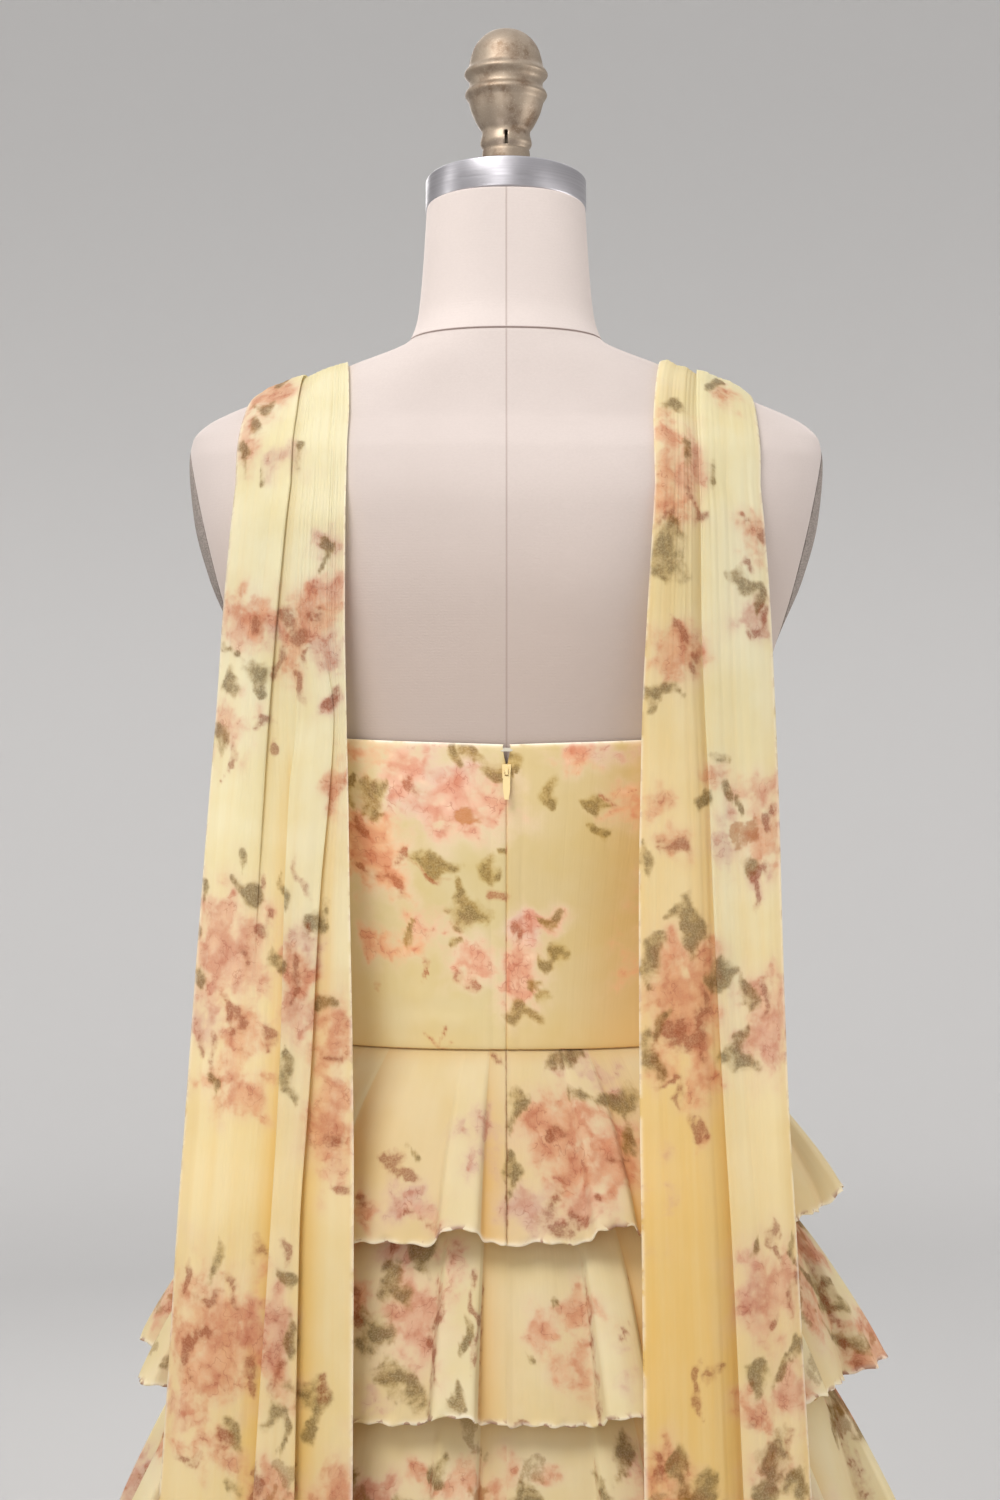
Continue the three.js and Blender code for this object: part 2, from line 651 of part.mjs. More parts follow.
// A drape's cloth, from the foot of its strap over the shoulder and down to its hem.
function drape({ hand, edges, folds }) {
  const clear = CLEARANCE + CHIFFON_WALL / 2;
  const strapRow = (height, lean, { inner, outer, depth }) =>
    folds.map(({ shoulder, out }) => {
      const x = mix(inner, outer, shoulder);
      const turn = (lean * Math.PI) / 180;
      const distance = castOut(x, height, turn) + clear + depth * out;
      return [hand * x, distance * Math.sin(turn), WAIST + height + distance * Math.cos(turn)];
    });
  const table = (rows, key, place) => ({
    inner: column(rows, key, "inner", place),
    outer: column(rows, key, "outer", place),
    depth: column(rows, key, "depth", place),
  });
  const [forward, backward] = [STRAP_OVER[0].lean, STRAP_OVER[STRAP_OVER.length - 1].lean];
  const upRows = STRAP_ROWS.map((height) =>
    strapRow(height, forward, table(STRAP_UP, "height", height)),
  );
  const overRows = ramp(OVER_ROWS, forward, backward).map((lean) =>
    strapRow(SHOULDER_PIVOT, lean, table(STRAP_OVER, "lean", lean)),
  );
  const hangRows = HANG_ROWS.map((height) =>
    folds.map(({ shoulder, hem, out }) => {
      const fallen = (SHOULDER_PIVOT - height) / (SHOULDER_PIVOT - DRAPE_HEM);
      const inner = column(edges, "height", "inner", height);
      const outer = column(edges, "height", "outer", height);
      const x = mix(inner, outer, mix(shoulder, hem, fallen));
      const depth = Math.min(FOLD_DEPTH.hem, mix(FOLD_DEPTH.shoulder, FOLD_DEPTH.hem, 2 * fallen));
      return [hand * x, hangDepth(x, height) + clear + depth * out, WAIST + height];
    }),
  );
  return thicken([...upRows, ...overRows, ...hangRows], CHIFFON_WALL, false);
}

// ---------- The zip's slider and pull, and the hook at its top ----------
// The face of the bodice at the centre back.
const backFace = (height) => levelOf(FORM, height).back + CLEARANCE + BODICE_WALL + SEAM_GAP;

// The line that the pull swings about.
const PIVOT = { y: backFace(SLIDER.top) + PIN.out, z: WAIST + SLIDER.top - PIN.drop };

function crossPin(radius, half) {
  const pin = new THREE.CylinderGeometry(radius, radius, 2 * half, PIN.sides);
  return pin.rotateZ(Math.PI / 2).translate(0, PIVOT.y, PIVOT.z);
}

// A plate on the zip with a bridge that the pull hangs from.
function zipSlider() {
  const { top, long, wide, thick, bridge, bridgeHigh, bridgeOut } = SLIDER;
  const face = backFace(top);
  const high = WAIST + top;
  const plate = brick([-wide / 2, face, high - long], [wide / 2, face + thick, high]);
  const bridgeLow = [-bridge / 2, face + thick / 2, PIVOT.z - bridgeHigh / 2];
  const eye = brick(bridgeLow, [bridge / 2, face + bridgeOut, PIVOT.z + bridgeHigh / 2]);
  return cut(join(plate, eye), crossPin(PIN.hole, wide));
}

// The pull: a drop-shaped tab, two arms beside the bridge and a pin through it.
function zipPull() {
  const { long, wide, tip, thick, armIn, armOut, shank } = PULL;
  const [upper, lower] = [-0.4 * long, -0.7 * long];
  const drop = new THREE.Shape();
  drop.moveTo(-armOut, -shank);
  drop.lineTo(armOut, -shank);
  drop.bezierCurveTo(wide / 2, upper, wide / 2, lower, tip / 2, -long);
  drop.lineTo(-tip / 2, -long);
  drop.bezierCurveTo(-wide / 2, lower, -wide / 2, upper, -armOut, -shank);
  const tab = new THREE.ExtrudeGeometry(drop, { depth: thick, bevelEnabled: false, curveSegments: 4 });
  tab.rotateX(Math.PI / 2).translate(0, PIVOT.y + thick / 2, PIVOT.z);
  const back = PIVOT.y - thick / 2;
  const arms = [[-armOut, -armIn], [armIn, armOut]].map(([near, far]) =>
    brick([near, back, PIVOT.z - shank - thick / 2], [far, back + thick, PIVOT.z + thick / 2]),
  );
  return join(tab, ...arms, crossPin(PIN.radius, (armIn + armOut) / 2));
}

function hookAndEye() {
  const { height, long, wide, thick } = HOOK;
  const [half, radius] = [(long - wide) / 2, wide / 2];
  const bar = new THREE.Shape();
  bar.absarc(half, 0, radius, -Math.PI / 2, Math.PI / 2, false);
  bar.absarc(-half, 0, radius, Math.PI / 2, (3 * Math.PI) / 2, false);
  const solid = new THREE.ExtrudeGeometry(bar, { depth: thick, bevelEnabled: false, curveSegments: 5 });
  return solid.rotateX(Math.PI / 2).translate(0, backFace(height) + thick, WAIST + height);
}

// ---------- The part ----------
const part = new THREE.Group();

function add(name, geometry, material) {
  const mesh = new THREE.Mesh(geometry, material);
  mesh.name = name;
  part.add(mesh);
}

add("form_torso", torso(), FORM_JERSEY);
add("form_neck", neck(), FORM_JERSEY);
add("arm_plate_left", armPlate(1), ARM_LINEN);
add("arm_plate_right", armPlate(-1), ARM_LINEN);
add("neck_cap", neckCap(), BRUSHED_METAL);
add("finial", finial(), FINIAL_PAINT);
add("stand_base", base(), STAND_PAINT);
add("stand_pole", pole(), BRUSHED_METAL);
add("stand_collar", poleCollar(), STAND_PAINT);

BODICE.forEach(({ name, from, to }) => add(name, bodicePanel(from, to), LINED_CHIFFON));
add("underskirt", underskirt(), LINED_CHIFFON);
TIERS.forEach((tier, index) => add(tier.name, tierShell(tier, index), CHIFFON));
DRAPES.forEach((side) => add(side.name, drape(side), CHIFFON));

add("zip_slider", zipSlider(), ZIP_ENAMEL);
add("zip_pull", zipPull(), ZIP_ENAMEL);
add("hook_and_eye", hookAndEye(), HOOK_WIRE);

export default part;
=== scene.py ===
# %% [markdown]
# # A party dress on a dress form, seen from behind
# The dress is pale yellow chiffon with a watercolour rose print. It hangs on a limbless dress form.
# The solid model is loaded first as a fixed frame. Each soft piece is then made again as thin cloth
# on the form of its solid, so that nothing has to be fitted by eye.

# %% Load the frame
import math

import bmesh
import bpy
import numpy as np
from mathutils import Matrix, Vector


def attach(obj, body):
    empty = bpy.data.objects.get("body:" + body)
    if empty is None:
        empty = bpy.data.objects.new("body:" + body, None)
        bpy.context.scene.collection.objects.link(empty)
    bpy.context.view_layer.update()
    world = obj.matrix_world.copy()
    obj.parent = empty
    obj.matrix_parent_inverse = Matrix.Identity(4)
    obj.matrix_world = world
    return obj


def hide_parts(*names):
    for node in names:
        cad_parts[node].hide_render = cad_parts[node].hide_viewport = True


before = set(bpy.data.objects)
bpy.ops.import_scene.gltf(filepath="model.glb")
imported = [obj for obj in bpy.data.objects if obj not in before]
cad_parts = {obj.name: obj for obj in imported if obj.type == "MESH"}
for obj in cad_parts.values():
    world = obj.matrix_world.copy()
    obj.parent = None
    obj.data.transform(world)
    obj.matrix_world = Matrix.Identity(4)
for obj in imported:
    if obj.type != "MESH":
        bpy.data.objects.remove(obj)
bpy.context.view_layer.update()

# %% [markdown]
# ## The camera
# It stands behind the form, level with the middle of the back, and looks towards the wearer's
# front. A longish lens keeps the straps and the skirt's ruffles in proportion.

# %% Camera
camera = bpy.data.objects.new("camera", bpy.data.cameras.new("camera"))
bpy.context.scene.collection.objects.link(camera)
camera.data.lens = 54
camera.data.sensor_width = 36
camera.location = (0.0037, 1.375, 1.222)
camera.rotation_euler = (math.radians(90), 0, math.radians(180))
bpy.context.scene.camera = camera
bpy.context.scene.view_settings.view_transform = "Standard"

# %% [markdown]
# ## Sizes
# Heights are in millimetres above the waist seam, and the same tables describe the form, the
# hollow skirt under the tiers and the surface that the long drapes hang on. A table's column is
# read along a smooth curve that never overshoots its rows.

# %% Tables
WAIST = 1050
FORM_FOOT = -262
NECK_SEAM = 420
NECK_TOP = 497
SEAM_GAP = 0.3  # between pieces that are sewn or seated together


def table(names, *rows):
    """A short table with named columns."""
    return {name: np.array([row[k] for row in rows], float) for k, name in enumerate(names.split())}


def column(rows, key, name, place):
    """One column of a table at any place, as a smooth curve through its rows."""
    at, value = rows[key], rows[name]
    if at[0] > at[-1]:
        at, value = at[::-1], value[::-1]
    step = np.diff(at)
    slope = np.diff(value) / step
    before, after = slope[:-1], slope[1:]
    total = np.where(before * after > 0, before + after, 1)
    bend = np.where(before * after > 0, 2 * before * after / total, 0)
    tangent = np.concatenate([slope[:1], bend, slope[-1:]])
    place = np.clip(place, at[0], at[-1])
    i = np.clip(np.searchsorted(at, place, side="right") - 1, 0, len(step) - 1)
    t = (place - at[i]) / step[i]
    rise = value[i + 1] - value[i]
    start, end = tangent[i] * step[i], tangent[i + 1] * step[i]
    return value[i] + t * (start + t * (3 * rise - 2 * start - end + t * (start + end - 2 * rise)))


FORM = table(
    "height side front back",
    (-262, 168, 103, 107), (-200, 173, 107, 113), (-120, 160, 103, 102), (-60, 136, 96, 87),
    (0, 118, 90, 78), (60, 125, 94, 84), (120, 138, 104, 94), (176, 148, 114, 101),
    (234, 163, 110, 107), (275, 180, 103, 110), (311, 189.5, 94, 108), (345, 192.5, 80, 97),
    (359, 190.5, 68, 83), (367, 184, 61, 74), (385, 145, 54, 66), (403, 98, 50, 61),
    (420, 59, 48, 56), (436, 53.5, 47.5, 51), (465, 50.5, 48, 49), (497, 48.4, 48.4, 48.4),
)
UNDERSKIRT = table(
    "height side front back",
    (0, 119.3, 91.3, 79.3), (-60, 141, 101, 91), (-120, 166, 111, 106), (-200, 184, 121, 119),
    (-300, 205, 136, 134), (-400, 224, 150, 148),
)
HANG = table(
    "height side back",
    (330, 192.3, 103.2), (300, 195, 113), (256, 200, 115), (172, 206, 116), (33, 216, 119),
    (-40, 224, 128), (-90, 232, 141), (-190, 246, 159), (-290, 260, 176), (-395, 274, 194),
    (-490, 284, 204),
)
SQUARENESS = 2.3  # exponent of every level outline: 2 is an ellipse
CLEARANCE = 1.4  # between the form and the cloth on it
CHIFFON_WALL = 1.4  # the solids' thick stand-in for chiffon
BUST = {"apart": 76, "height": 172, "out": 15, "wide": 44, "tall": 52}
print("form", len(FORM["height"]), "levels")

# %% [markdown]
# ## Level outlines
# A body's cross section is squarer than an ellipse. A superellipse with an exponent a little over
# 2 gives that with three numbers a level. Points are placed by their share of the way round,
# from the centre back towards the wearer's left, so that seams run where a maker would draw them.

# %% Outlines
def power(value, exponent):
    return np.sign(value) * np.abs(value) ** exponent


def bell(value, width):
    """A smooth bump: 1 where the value is 0, faded within about two widths."""
    return np.exp(-((value / width) ** 2))


ROUND = np.linspace(0, 2 * np.pi, 721)


def outline(side, front, back, shares, out=0):
    """Points of a level outline at shares of its length, moved out square to it."""
    depth = np.where(np.cos(ROUND) > 0, back, front)
    x = side * power(np.sin(ROUND), 2 / SQUARENESS)
    y = depth * power(np.cos(ROUND), 2 / SQUARENESS)
    walked = np.concatenate([[0], np.cumsum(np.hypot(np.diff(x), np.diff(y)))])
    goal = np.mod(shares, 1) * walked[-1]
    x, y = np.interp(goal, walked, x), np.interp(goal, walked, y)
    deep = np.where(y > 0, back, front)
    nx = power(x / side, SQUARENESS - 1) / side
    ny = power(y / deep, SQUARENESS - 1) / deep
    size = np.hypot(nx, ny)
    return x + nx / size * out, y + ny / size * out


def bust_out(x, height):
    across = (np.abs(x) - BUST["apart"]) / BUST["wide"]
    up = (height - BUST["height"]) / BUST["tall"]
    return BUST["out"] * np.exp(-across * across - up * up)


def level_of(rows, height):
    return [column(rows, "height", name, height) for name in ("side", "front", "back")]


def form_ring(height, shares, out=0):
    """One level of the form, moved out by a distance."""
    x, y = outline(*level_of(FORM, height), shares, out)
    return x, np.where(y < 0, y - bust_out(x, height) * np.minimum(1, -y / BUST["wide"]), y)


# %% [markdown]
# ## Cloth from a flat grid
# Every cloth piece starts as a flat rectangle, which is also how cloth is cut. The rectangle's
# points are then moved to where the cloth hangs. Its UV map keeps the flat place in metres, so a
# print or a crinkle has its real size everywhere.

# %% Grids and finishing
def mesh_from(bm, name):
    """Turns a bmesh into a mesh and frees it."""
    mesh = bpy.data.meshes.new(name)
    bm.to_mesh(mesh)
    bm.free()
    return mesh


def close_holes(bm):
    """Closes each open rim with a face."""
    bmesh.ops.holes_fill(bm, edges=[edge for edge in bm.edges if edge.is_boundary], sides=0)


def flat_grid(columns, rows):
    """A flat rectangle of quads as a mesh, with each point's share across and down."""
    bm = bmesh.new()
    bmesh.ops.create_grid(bm, x_segments=columns, y_segments=rows, size=0.5)
    mesh = mesh_from(bm, "cloth")
    place = np.empty(len(mesh.vertices) * 3)
    mesh.vertices.foreach_get("co", place)
    place = place.reshape(-1, 3)
    across = np.rint((place[:, 0] + 0.5) * columns).astype(int)
    down = np.rint((0.5 - place[:, 1]) * rows).astype(int)
    return mesh, across, down


def put_attribute(mesh, name, values):
    """A number, or four, for each point of a mesh, for its material to read."""
    kind = "FLOAT" if values.ndim == 1 else "FLOAT_COLOR"
    layer = mesh.attributes.new(name, kind, "POINT")
    layer.data.foreach_set("value" if kind == "FLOAT" else "color", values.astype(np.float32).ravel())


def cloth(name, x, y, z, u, v, round_=False, fields=None):
    """A cloth piece from grids of places in millimetres, [row, column], and its flat places in metres."""
    rows, columns = x.shape[0] - 1, x.shape[1] - 1
    mesh, across, down = flat_grid(columns, rows)
    places = np.stack([x[down, across], y[down, across], z[down, across]], axis=1) / 1000
    mesh.vertices.foreach_set("co", places.ravel())
    flat = np.stack([u[down, across], v[down, across]], axis=1)
    corner = np.empty(len(mesh.loops), int)
    mesh.loops.foreach_get("vertex_index", corner)
    layer = mesh.uv_layers.new(name="cloth")
    layer.data.foreach_set("uv", flat[corner].ravel())
    for field, values in (fields or {}).items():
        put_attribute(mesh, field, values[down, across])
    bm = bmesh.new()
    bm.from_mesh(mesh)
    if round_:
        bmesh.ops.remove_doubles(bm, verts=bm.verts, dist=1e-6)
    bmesh.ops.recalc_face_normals(bm, faces=bm.faces)
    bm.to_mesh(mesh)
    bm.free()
    return finish_piece(name, mesh)


def finish_piece(name, mesh):
    """A smooth-shaded object from a mesh that is already in place."""
    mesh.name = name
    mesh.polygons.foreach_set("use_smooth", [True] * len(mesh.polygons))
    piece = bpy.data.objects.new(name, mesh)
    bpy.context.scene.collection.objects.link(piece)
    return piece


def thicken(piece, millimetres, offset=0):
    """Gives a cloth its thickness, on both sides of the sheet, or with offset 1 on one."""
    wall = piece.modifiers.new("thickness", "SOLIDIFY")
    wall.thickness = millimetres / 1000
    wall.offset = offset
    wall.use_even_offset = False


def area_of(piece):
    return sum(face.area for face in piece.data.polygons)


def softened(values, times, closed=False):
    """Smooths a grid along its rows, keeping the two ends of an open one."""
    for _ in range(times):
        if closed:
            body = values[..., :-1]
            body = (np.roll(body, 1, -1) + 2 * body + np.roll(body, -1, -1)) / 4
            values = np.concatenate([body, body[..., :1]], axis=-1)
        else:
            inner = (values[..., :-2] + 2 * values[..., 1:-1] + values[..., 2:]) / 4
            values = np.concatenate([values[..., :1], inner, values[..., -1:]], axis=-1)
    return values


# %% [markdown]
# ## The print
# The print is roses in coral, pink and mauve washes with olive leaves and rust strokes. A painted
# design like this could be an image, but an image has one sharpness. Here each bloom is a soft
# field on the cloth's points, and the material breaks its edge up with noise, as wet paint does.
# A broad pale halo lies under each bloom, and marks lie over it.

# %% Painting blooms
TINTS = {"coral": 0, "pink": 1, "mauve": 2}
MARKS = {"olive": 0, "rust": 1, "heart": 2, "sprig": 3}


def by_kind(**groups):
    """A print table from each kind's rows. A mark's lean is 0 where its row leaves it out."""
    return [(kind, *row, *[0] * (5 - len(row))) for kind, rows in groups.items() for row in rows]


def paint(across, height, blooms, marks):
    """The print's fields: washes, marks and petal streaks, for grids of places in millimetres."""
    wash = np.zeros(across.shape + (4,))
    mark = np.zeros(across.shape + (4,))
    petal = np.zeros(across.shape)
    nearest = np.full(across.shape, 9.0)
    across, height = (
        across + 2.2 * np.sin(height / 6.1 + np.sin(across / 9)) + 1.6 * np.sin(height / 3.1 + across / 4.3),
        height + 2.6 * np.sin(across / 5.3 + np.sin(height / 8)) + 1.8 * np.sin(across / 2.9 - height / 5.1),
    )
    for tint, a, h, wide, tall, strength in blooms:
        da, dh = (across - a) / wide, (height - h) / tall
        distance = np.hypot(da, dh)
        turn = np.arctan2(dh, da)
        lobes = distance * (1 + 0.12 * np.cos(5 * turn + a))
        channel = TINTS[tint]
        soft = strength * np.exp(-((lobes / 0.92) ** 3))
        wash[..., channel] = np.maximum(wash[..., channel], soft)
        halo = strength * bell(distance, 1.35)
        wash[..., 3] = np.maximum(wash[..., 3], halo)
        curl = np.cos(2 * np.pi * 1.9 * distance + turn + 1.6 * np.sin(3 * turn + h))
        petal = np.where(distance < nearest, curl, petal)
        nearest = np.minimum(nearest, distance)
    for kind, a, h, wide, tall, lean in marks:
        c, s = math.cos(math.radians(lean)), math.sin(math.radians(lean))
        da, dh = across - a, height - h
        x, y = (c * da + s * dh) / wide, (c * dh - s * da) / tall
        long, short = (x, y) if wide > tall else (y, x)
        distance = 1.1 * (np.abs(short) + 0.9 * long * long) if kind in ("olive", "sprig") else np.hypot(x, y)
        channel = MARKS[kind]
        mark[..., channel] = np.maximum(mark[..., channel], np.clip(1.5 - distance, 0, 1))
    return {"wash": wash, "mark": mark, "petal": petal}


def scattered(seed, left, right, low, high, spacing):
    """Blooms and marks for cloth that the tables below leave out, in the same style."""
    dice = np.random.default_rng(seed)
    blooms, marks = [], []
    for a in np.arange(left + spacing / 2, right, spacing):
        for h in np.arange(low + spacing / 2, high + spacing / 2, spacing):
            if dice.random() < 0.35:
                continue
            a2, h2 = a + dice.uniform(-0.3, 0.3) * spacing, h + dice.uniform(-0.3, 0.3) * spacing
            size = dice.uniform(14, 27)
            tint = ["coral", "pink", "mauve"][dice.choice(3, p=[0.45, 0.38, 0.17])]
            blooms.append((tint, a2, h2, size, size * dice.uniform(0.9, 1.3), dice.uniform(0.7, 1)))
            marks.append(("heart", a2, h2, size / 5, size / 5, 0))
            for _ in range(dice.integers(2, 5)):
                way, reach = dice.uniform(0, 2 * np.pi), size * dice.uniform(0.8, 1.3)
                kind = ["olive", "rust", "sprig"][dice.choice(3, p=[0.4, 0.2, 0.4])]
                long_, wide = (dice.uniform(8, 15), dice.uniform(4, 8)) if kind != "rust" else (6, 2.5)
                place = (a2 + reach * math.cos(way), h2 + reach * math.sin(way))
                marks.append((kind, *place, long_, wide, math.degrees(way) + dice.uniform(-40, 40)))
    return blooms, marks


# %% [markdown]
# ## A workbench for materials
# Node materials are easier to read when each step is one line. This small helper adds nodes to
# one material and joins them. Constants go straight onto the shader's own sockets.

# %% Finish helper
def srgb(red, green, blue):
    """A colour given as it looks on screen, as the linear colour that shaders use."""
    def linear(value):
        value /= 255
        return value / 12.92 if value <= 0.04045 else ((value + 0.055) / 1.055) ** 2.4

    return (linear(red), linear(green), linear(blue), 1)


def darker(tone, *by):
    """A tone some levels darker: by one number, or by one for each channel."""
    return srgb(*[value - less for value, less in zip(tone, by if len(by) == 3 else by * 3)])


class Finish:
    """One material, with short calls that add a node and return its output."""

    def __init__(self, name, roughness=0.5, metallic=0.0, sheen=0.0, sheen_tint=(1, 1, 1, 1)):
        self.material = bpy.data.materials.new(name)
        self.material.use_nodes = True
        self.tree = self.material.node_tree
        self.shader = self.tree.nodes["Principled BSDF"]
        self.out = self.tree.nodes["Material Output"]
        self.shader.inputs["Roughness"].default_value = roughness
        self.shader.inputs["Metallic"].default_value = metallic
        self.shader.inputs["Sheen Weight"].default_value = sheen
        self.shader.inputs["Sheen Tint"].default_value = sheen_tint

    def add(self, kind, **settings):
        node = self.tree.nodes.new(kind)
        for key, value in settings.items():
            setattr(node, key, value)
        return node

    def plug(self, socket, value):
        if isinstance(value, bpy.types.NodeSocket):
            self.tree.links.new(value, socket)
        else:
            socket.default_value = value

    def mix(self, factor, first, second):
        node = self.add("ShaderNodeMix", data_type="RGBA")
        self.plug(node.inputs[0], factor)
        self.plug(node.inputs[6], first)
        self.plug(node.inputs[7], second)
        return node.outputs[2]

    def math(self, operation, first, second=0.0, third=0.0):
        node = self.add("ShaderNodeMath", operation=operation)
        for socket, value in zip(node.inputs, (first, second, third)):
            self.plug(socket, value)
        return node.outputs[0]

    def step(self, value, low, high, to_low=0.0, to_high=1.0):
        """A smooth step between two levels."""
        node = self.add("ShaderNodeMapRange", interpolation_type="SMOOTHSTEP")
        for socket, number in zip(node.inputs, (value, low, high, to_low, to_high)):
            self.plug(socket, number)
        return node.outputs[0]

    def place(self, scale, source="object"):
        """Coordinates stretched by a scale: the object's own, or the cloth's flat map."""
        if source == "object":
            vector = self.add("ShaderNodeTexCoord").outputs["Object"]
        else:
            vector = self.add("ShaderNodeUVMap", uv_map="cloth").outputs[0]
        node = self.add("ShaderNodeMapping")
        self.plug(node.inputs["Vector"], vector)
        self.plug(node.inputs["Scale"], scale)
        return node.outputs[0]

    def noise(self, vector, scale, detail=3.0, roughness=0.5, distortion=0.0):
        node = self.add("ShaderNodeTexNoise")
        self.plug(node.inputs["Vector"], vector)
        for key, value in (("Scale", scale), ("Detail", detail), ("Roughness", roughness)):
            self.plug(node.inputs[key], value)
        self.plug(node.inputs["Distortion"], distortion)
        return node.outputs[0]

    def wander(self, vector, scale, reach):
        """Coordinates that a slow noise pushes about, so that nothing on them runs straight."""
        node = self.add("ShaderNodeTexNoise")
        self.plug(node.inputs["Vector"], vector)
        self.plug(node.inputs["Scale"], scale)
        self.plug(node.inputs["Detail"], 2.0)
        push = self.add("ShaderNodeVectorMath", operation="MULTIPLY_ADD")
        self.plug(push.inputs[0], node.outputs[1])
        self.plug(push.inputs[1], (reach, reach, reach))
        self.plug(push.inputs[2], vector)
        return push.outputs[0]

    def field(self, name):
        return self.add("ShaderNodeAttribute", attribute_name=name)

    def split(self, name):
        node = self.add("ShaderNodeSeparateColor")
        self.plug(node.inputs[0], self.field(name).outputs["Color"])
        return node.outputs[0], node.outputs[1], node.outputs[2]

    def bump(self, height, strength, distance, below=None):
        node = self.add("ShaderNodeBump")
        node.inputs["Strength"].default_value = strength
        node.inputs["Distance"].default_value = distance
        self.plug(node.inputs["Height"], height)
        if below is not None:
            self.plug(node.inputs["Normal"], below)
        return node.outputs[0]

    def colour(self, value):
        self.plug(self.shader.inputs["Base Color"], value)

    def normal(self, value):
        self.plug(self.shader.inputs["Normal"], value)


# %% [markdown]
# ## The printed chiffon
# Chiffon is thin, crinkled along its length and lets light through. The ground is butter yellow.
# Where layers lie over each other it looks golden. Shade is painted into the colour: a painted shade field
# on the cloth's points tints it gold in fold recesses, under hems and on the shaded side.
# A part of the light goes through, by a translucent shader, and a little passes straight.

# %% Chiffon
def printed_cloth(name, ground, painted_shade, sheer, through, strength, pleat_shade_strength, specked, source="cloth"):
    f = Finish(name, roughness=0.8, sheen=0.15, sheen_tint=srgb(255, 246, 220))
    plain = f.place((1.0, 1.0, 1.0), source)
    bent = f.wander(plain, 48, 0.014)
    blot = f.noise(bent, 64, 3, 0.5)
    dab = f.noise(f.wander(plain, 70, 0.008), 150, 2, 0.5)
    patchy = f.noise(plain, 24, 3, 0.5)
    grain = f.noise(plain, 900, 2, 0.7)
    pleat_shade = f.noise(f.place((95, 3, 1), "cloth"), 1.0, 3, 0.6)
    coral, pink, mauve = f.split("wash")
    halo = f.field("wash").outputs["Alpha"]
    olive, rust, heart = f.split("mark")
    sprig = f.field("mark").outputs["Alpha"]
    petal = f.field("petal").outputs["Fac"]
    shade_amount = f.field("painted_shade").outputs["Fac"]
    rim = f.field("rim").outputs["Fac"]

    def spread(amount, noise, by):
        """A field whose edge is broken up by a noise."""
        return f.math("MULTIPLY_ADD", f.math("SUBTRACT", noise, 0.5), by, amount)

    def covered(amount, low, high, by_blot, by_dab, speckle=0.8, share=strength):
        ragged = spread(spread(amount, blot, by_blot), dab, by_dab)
        inside = f.math("MULTIPLY", f.step(ragged, low, high), f.step(amount, 0.03, 0.35))
        grainy = f.math("MULTIPLY", inside, f.step(grain, 0.25, 0.7, speckle, 1.0))
        return f.math("MULTIPLY", grainy, share)

    def lay(base, amount, share, colour):
        return f.mix(f.math("MULTIPLY", amount, share), base, colour)

    base = f.mix(f.step(patchy, 0.35, 0.7), srgb(*ground), darker(ground, 4, 7, 16))
    # Painted shade: the shade field and soft pleat streaks tint the ground towards the gold shade colour.
    base = lay(base, f.math("ADD", shade_amount, f.step(pleat_shade, 0.45, 0.75, 0.0, pleat_shade_strength)), 0.85, srgb(*painted_shade))
    bloom = f.math("MAXIMUM", f.math("MAXIMUM", coral, pink), mauve)
    base = lay(base, covered(halo, 0.15, 0.85, 0.9, 0.2), 0.6, srgb(232, 206, 184))
    base = lay(base, covered(mauve, 0.1, 1.0, 2.0, 0.9), 0.72, srgb(216, 176, 164))
    base = lay(base, covered(pink, 0.1, 1.0, 2.0, 1.0), 0.74, srgb(226, 164, 134))
    base = lay(base, covered(coral, 0.1, 1.0, 2.0, 1.0), 0.74, srgb(224, 146, 94))
    cells = f.add("ShaderNodeTexVoronoi", feature="F1")
    f.plug(cells.inputs["Vector"], bent)
    f.plug(cells.inputs["Scale"], 92.0)
    f.plug(cells.inputs["Detail"], 0.0)
    petals = cells.outputs["Distance"]
    deep = f.math("MULTIPLY", f.step(petals, 0.32, 0.7), covered(bloom, 0.4, 0.95, 1.6, 1.2))
    base = lay(base, deep, 0.5, srgb(196, 104, 68))
    light = f.math("MULTIPLY", f.step(petals, 0.34, 0.05), covered(bloom, 0.35, 0.9, 1.4, 0.6))
    base = lay(base, light, 0.5, srgb(244, 218, 182))
    curl = spread(petal, blot, 3.2)
    streak = f.math("MULTIPLY", f.step(curl, 0.4, 1.5), covered(bloom, 0.4, 0.95, 1.2, 1.8))
    base = lay(base, streak, 0.5, srgb(186, 90, 52))
    thin = f.math("ABSOLUTE", f.math("SUBTRACT", dab, 0.53))
    line = f.math("MULTIPLY", f.step(thin, 0.03, 0.002), f.step(blot, 0.48, 0.6))
    base = lay(base, f.math("MULTIPLY", line, f.step(bloom, 0.25, 0.6)), 0.5 * strength, srgb(168, 82, 56))
    base = lay(base, covered(heart, 0.3, 0.8, 0.8, 2.0), 0.8, srgb(180, 112, 36))
    base = lay(base, covered(olive, 0.05, 0.8, 1.0, 1.5, 0.6), 0.7, srgb(170, 134, 50))
    core = f.mix(f.step(dab, 0.4, 0.6), srgb(136, 100, 24), srgb(102, 74, 14))
    base = lay(base, covered(olive, 0.42, 1.05, 1.6, 1.9, 0.5), 0.84, core)
    base = lay(base, covered(sprig, 0.35, 0.95, 0.6, 2.6, 0.5), 0.72, srgb(154, 116, 44))
    base = lay(base, covered(rust, 0.15, 0.85, 0.5, 1.8, 0.6), 0.5, srgb(184, 112, 66))
    base = lay(base, covered(rust, 0.6, 1.0, 0.6, 2.4, 0.5), 0.75, srgb(150, 68, 26))
    frayed = f.math("MULTIPLY", rim, f.step(blot, 0.34, 0.5))
    base = lay(base, frayed, 0.75, srgb(255, 250, 236))
    speck = f.math("MULTIPLY", rim, f.step(dab, 0.54, 0.6))
    base = lay(base, speck, specked, srgb(160, 92, 50))
    f.colour(base)

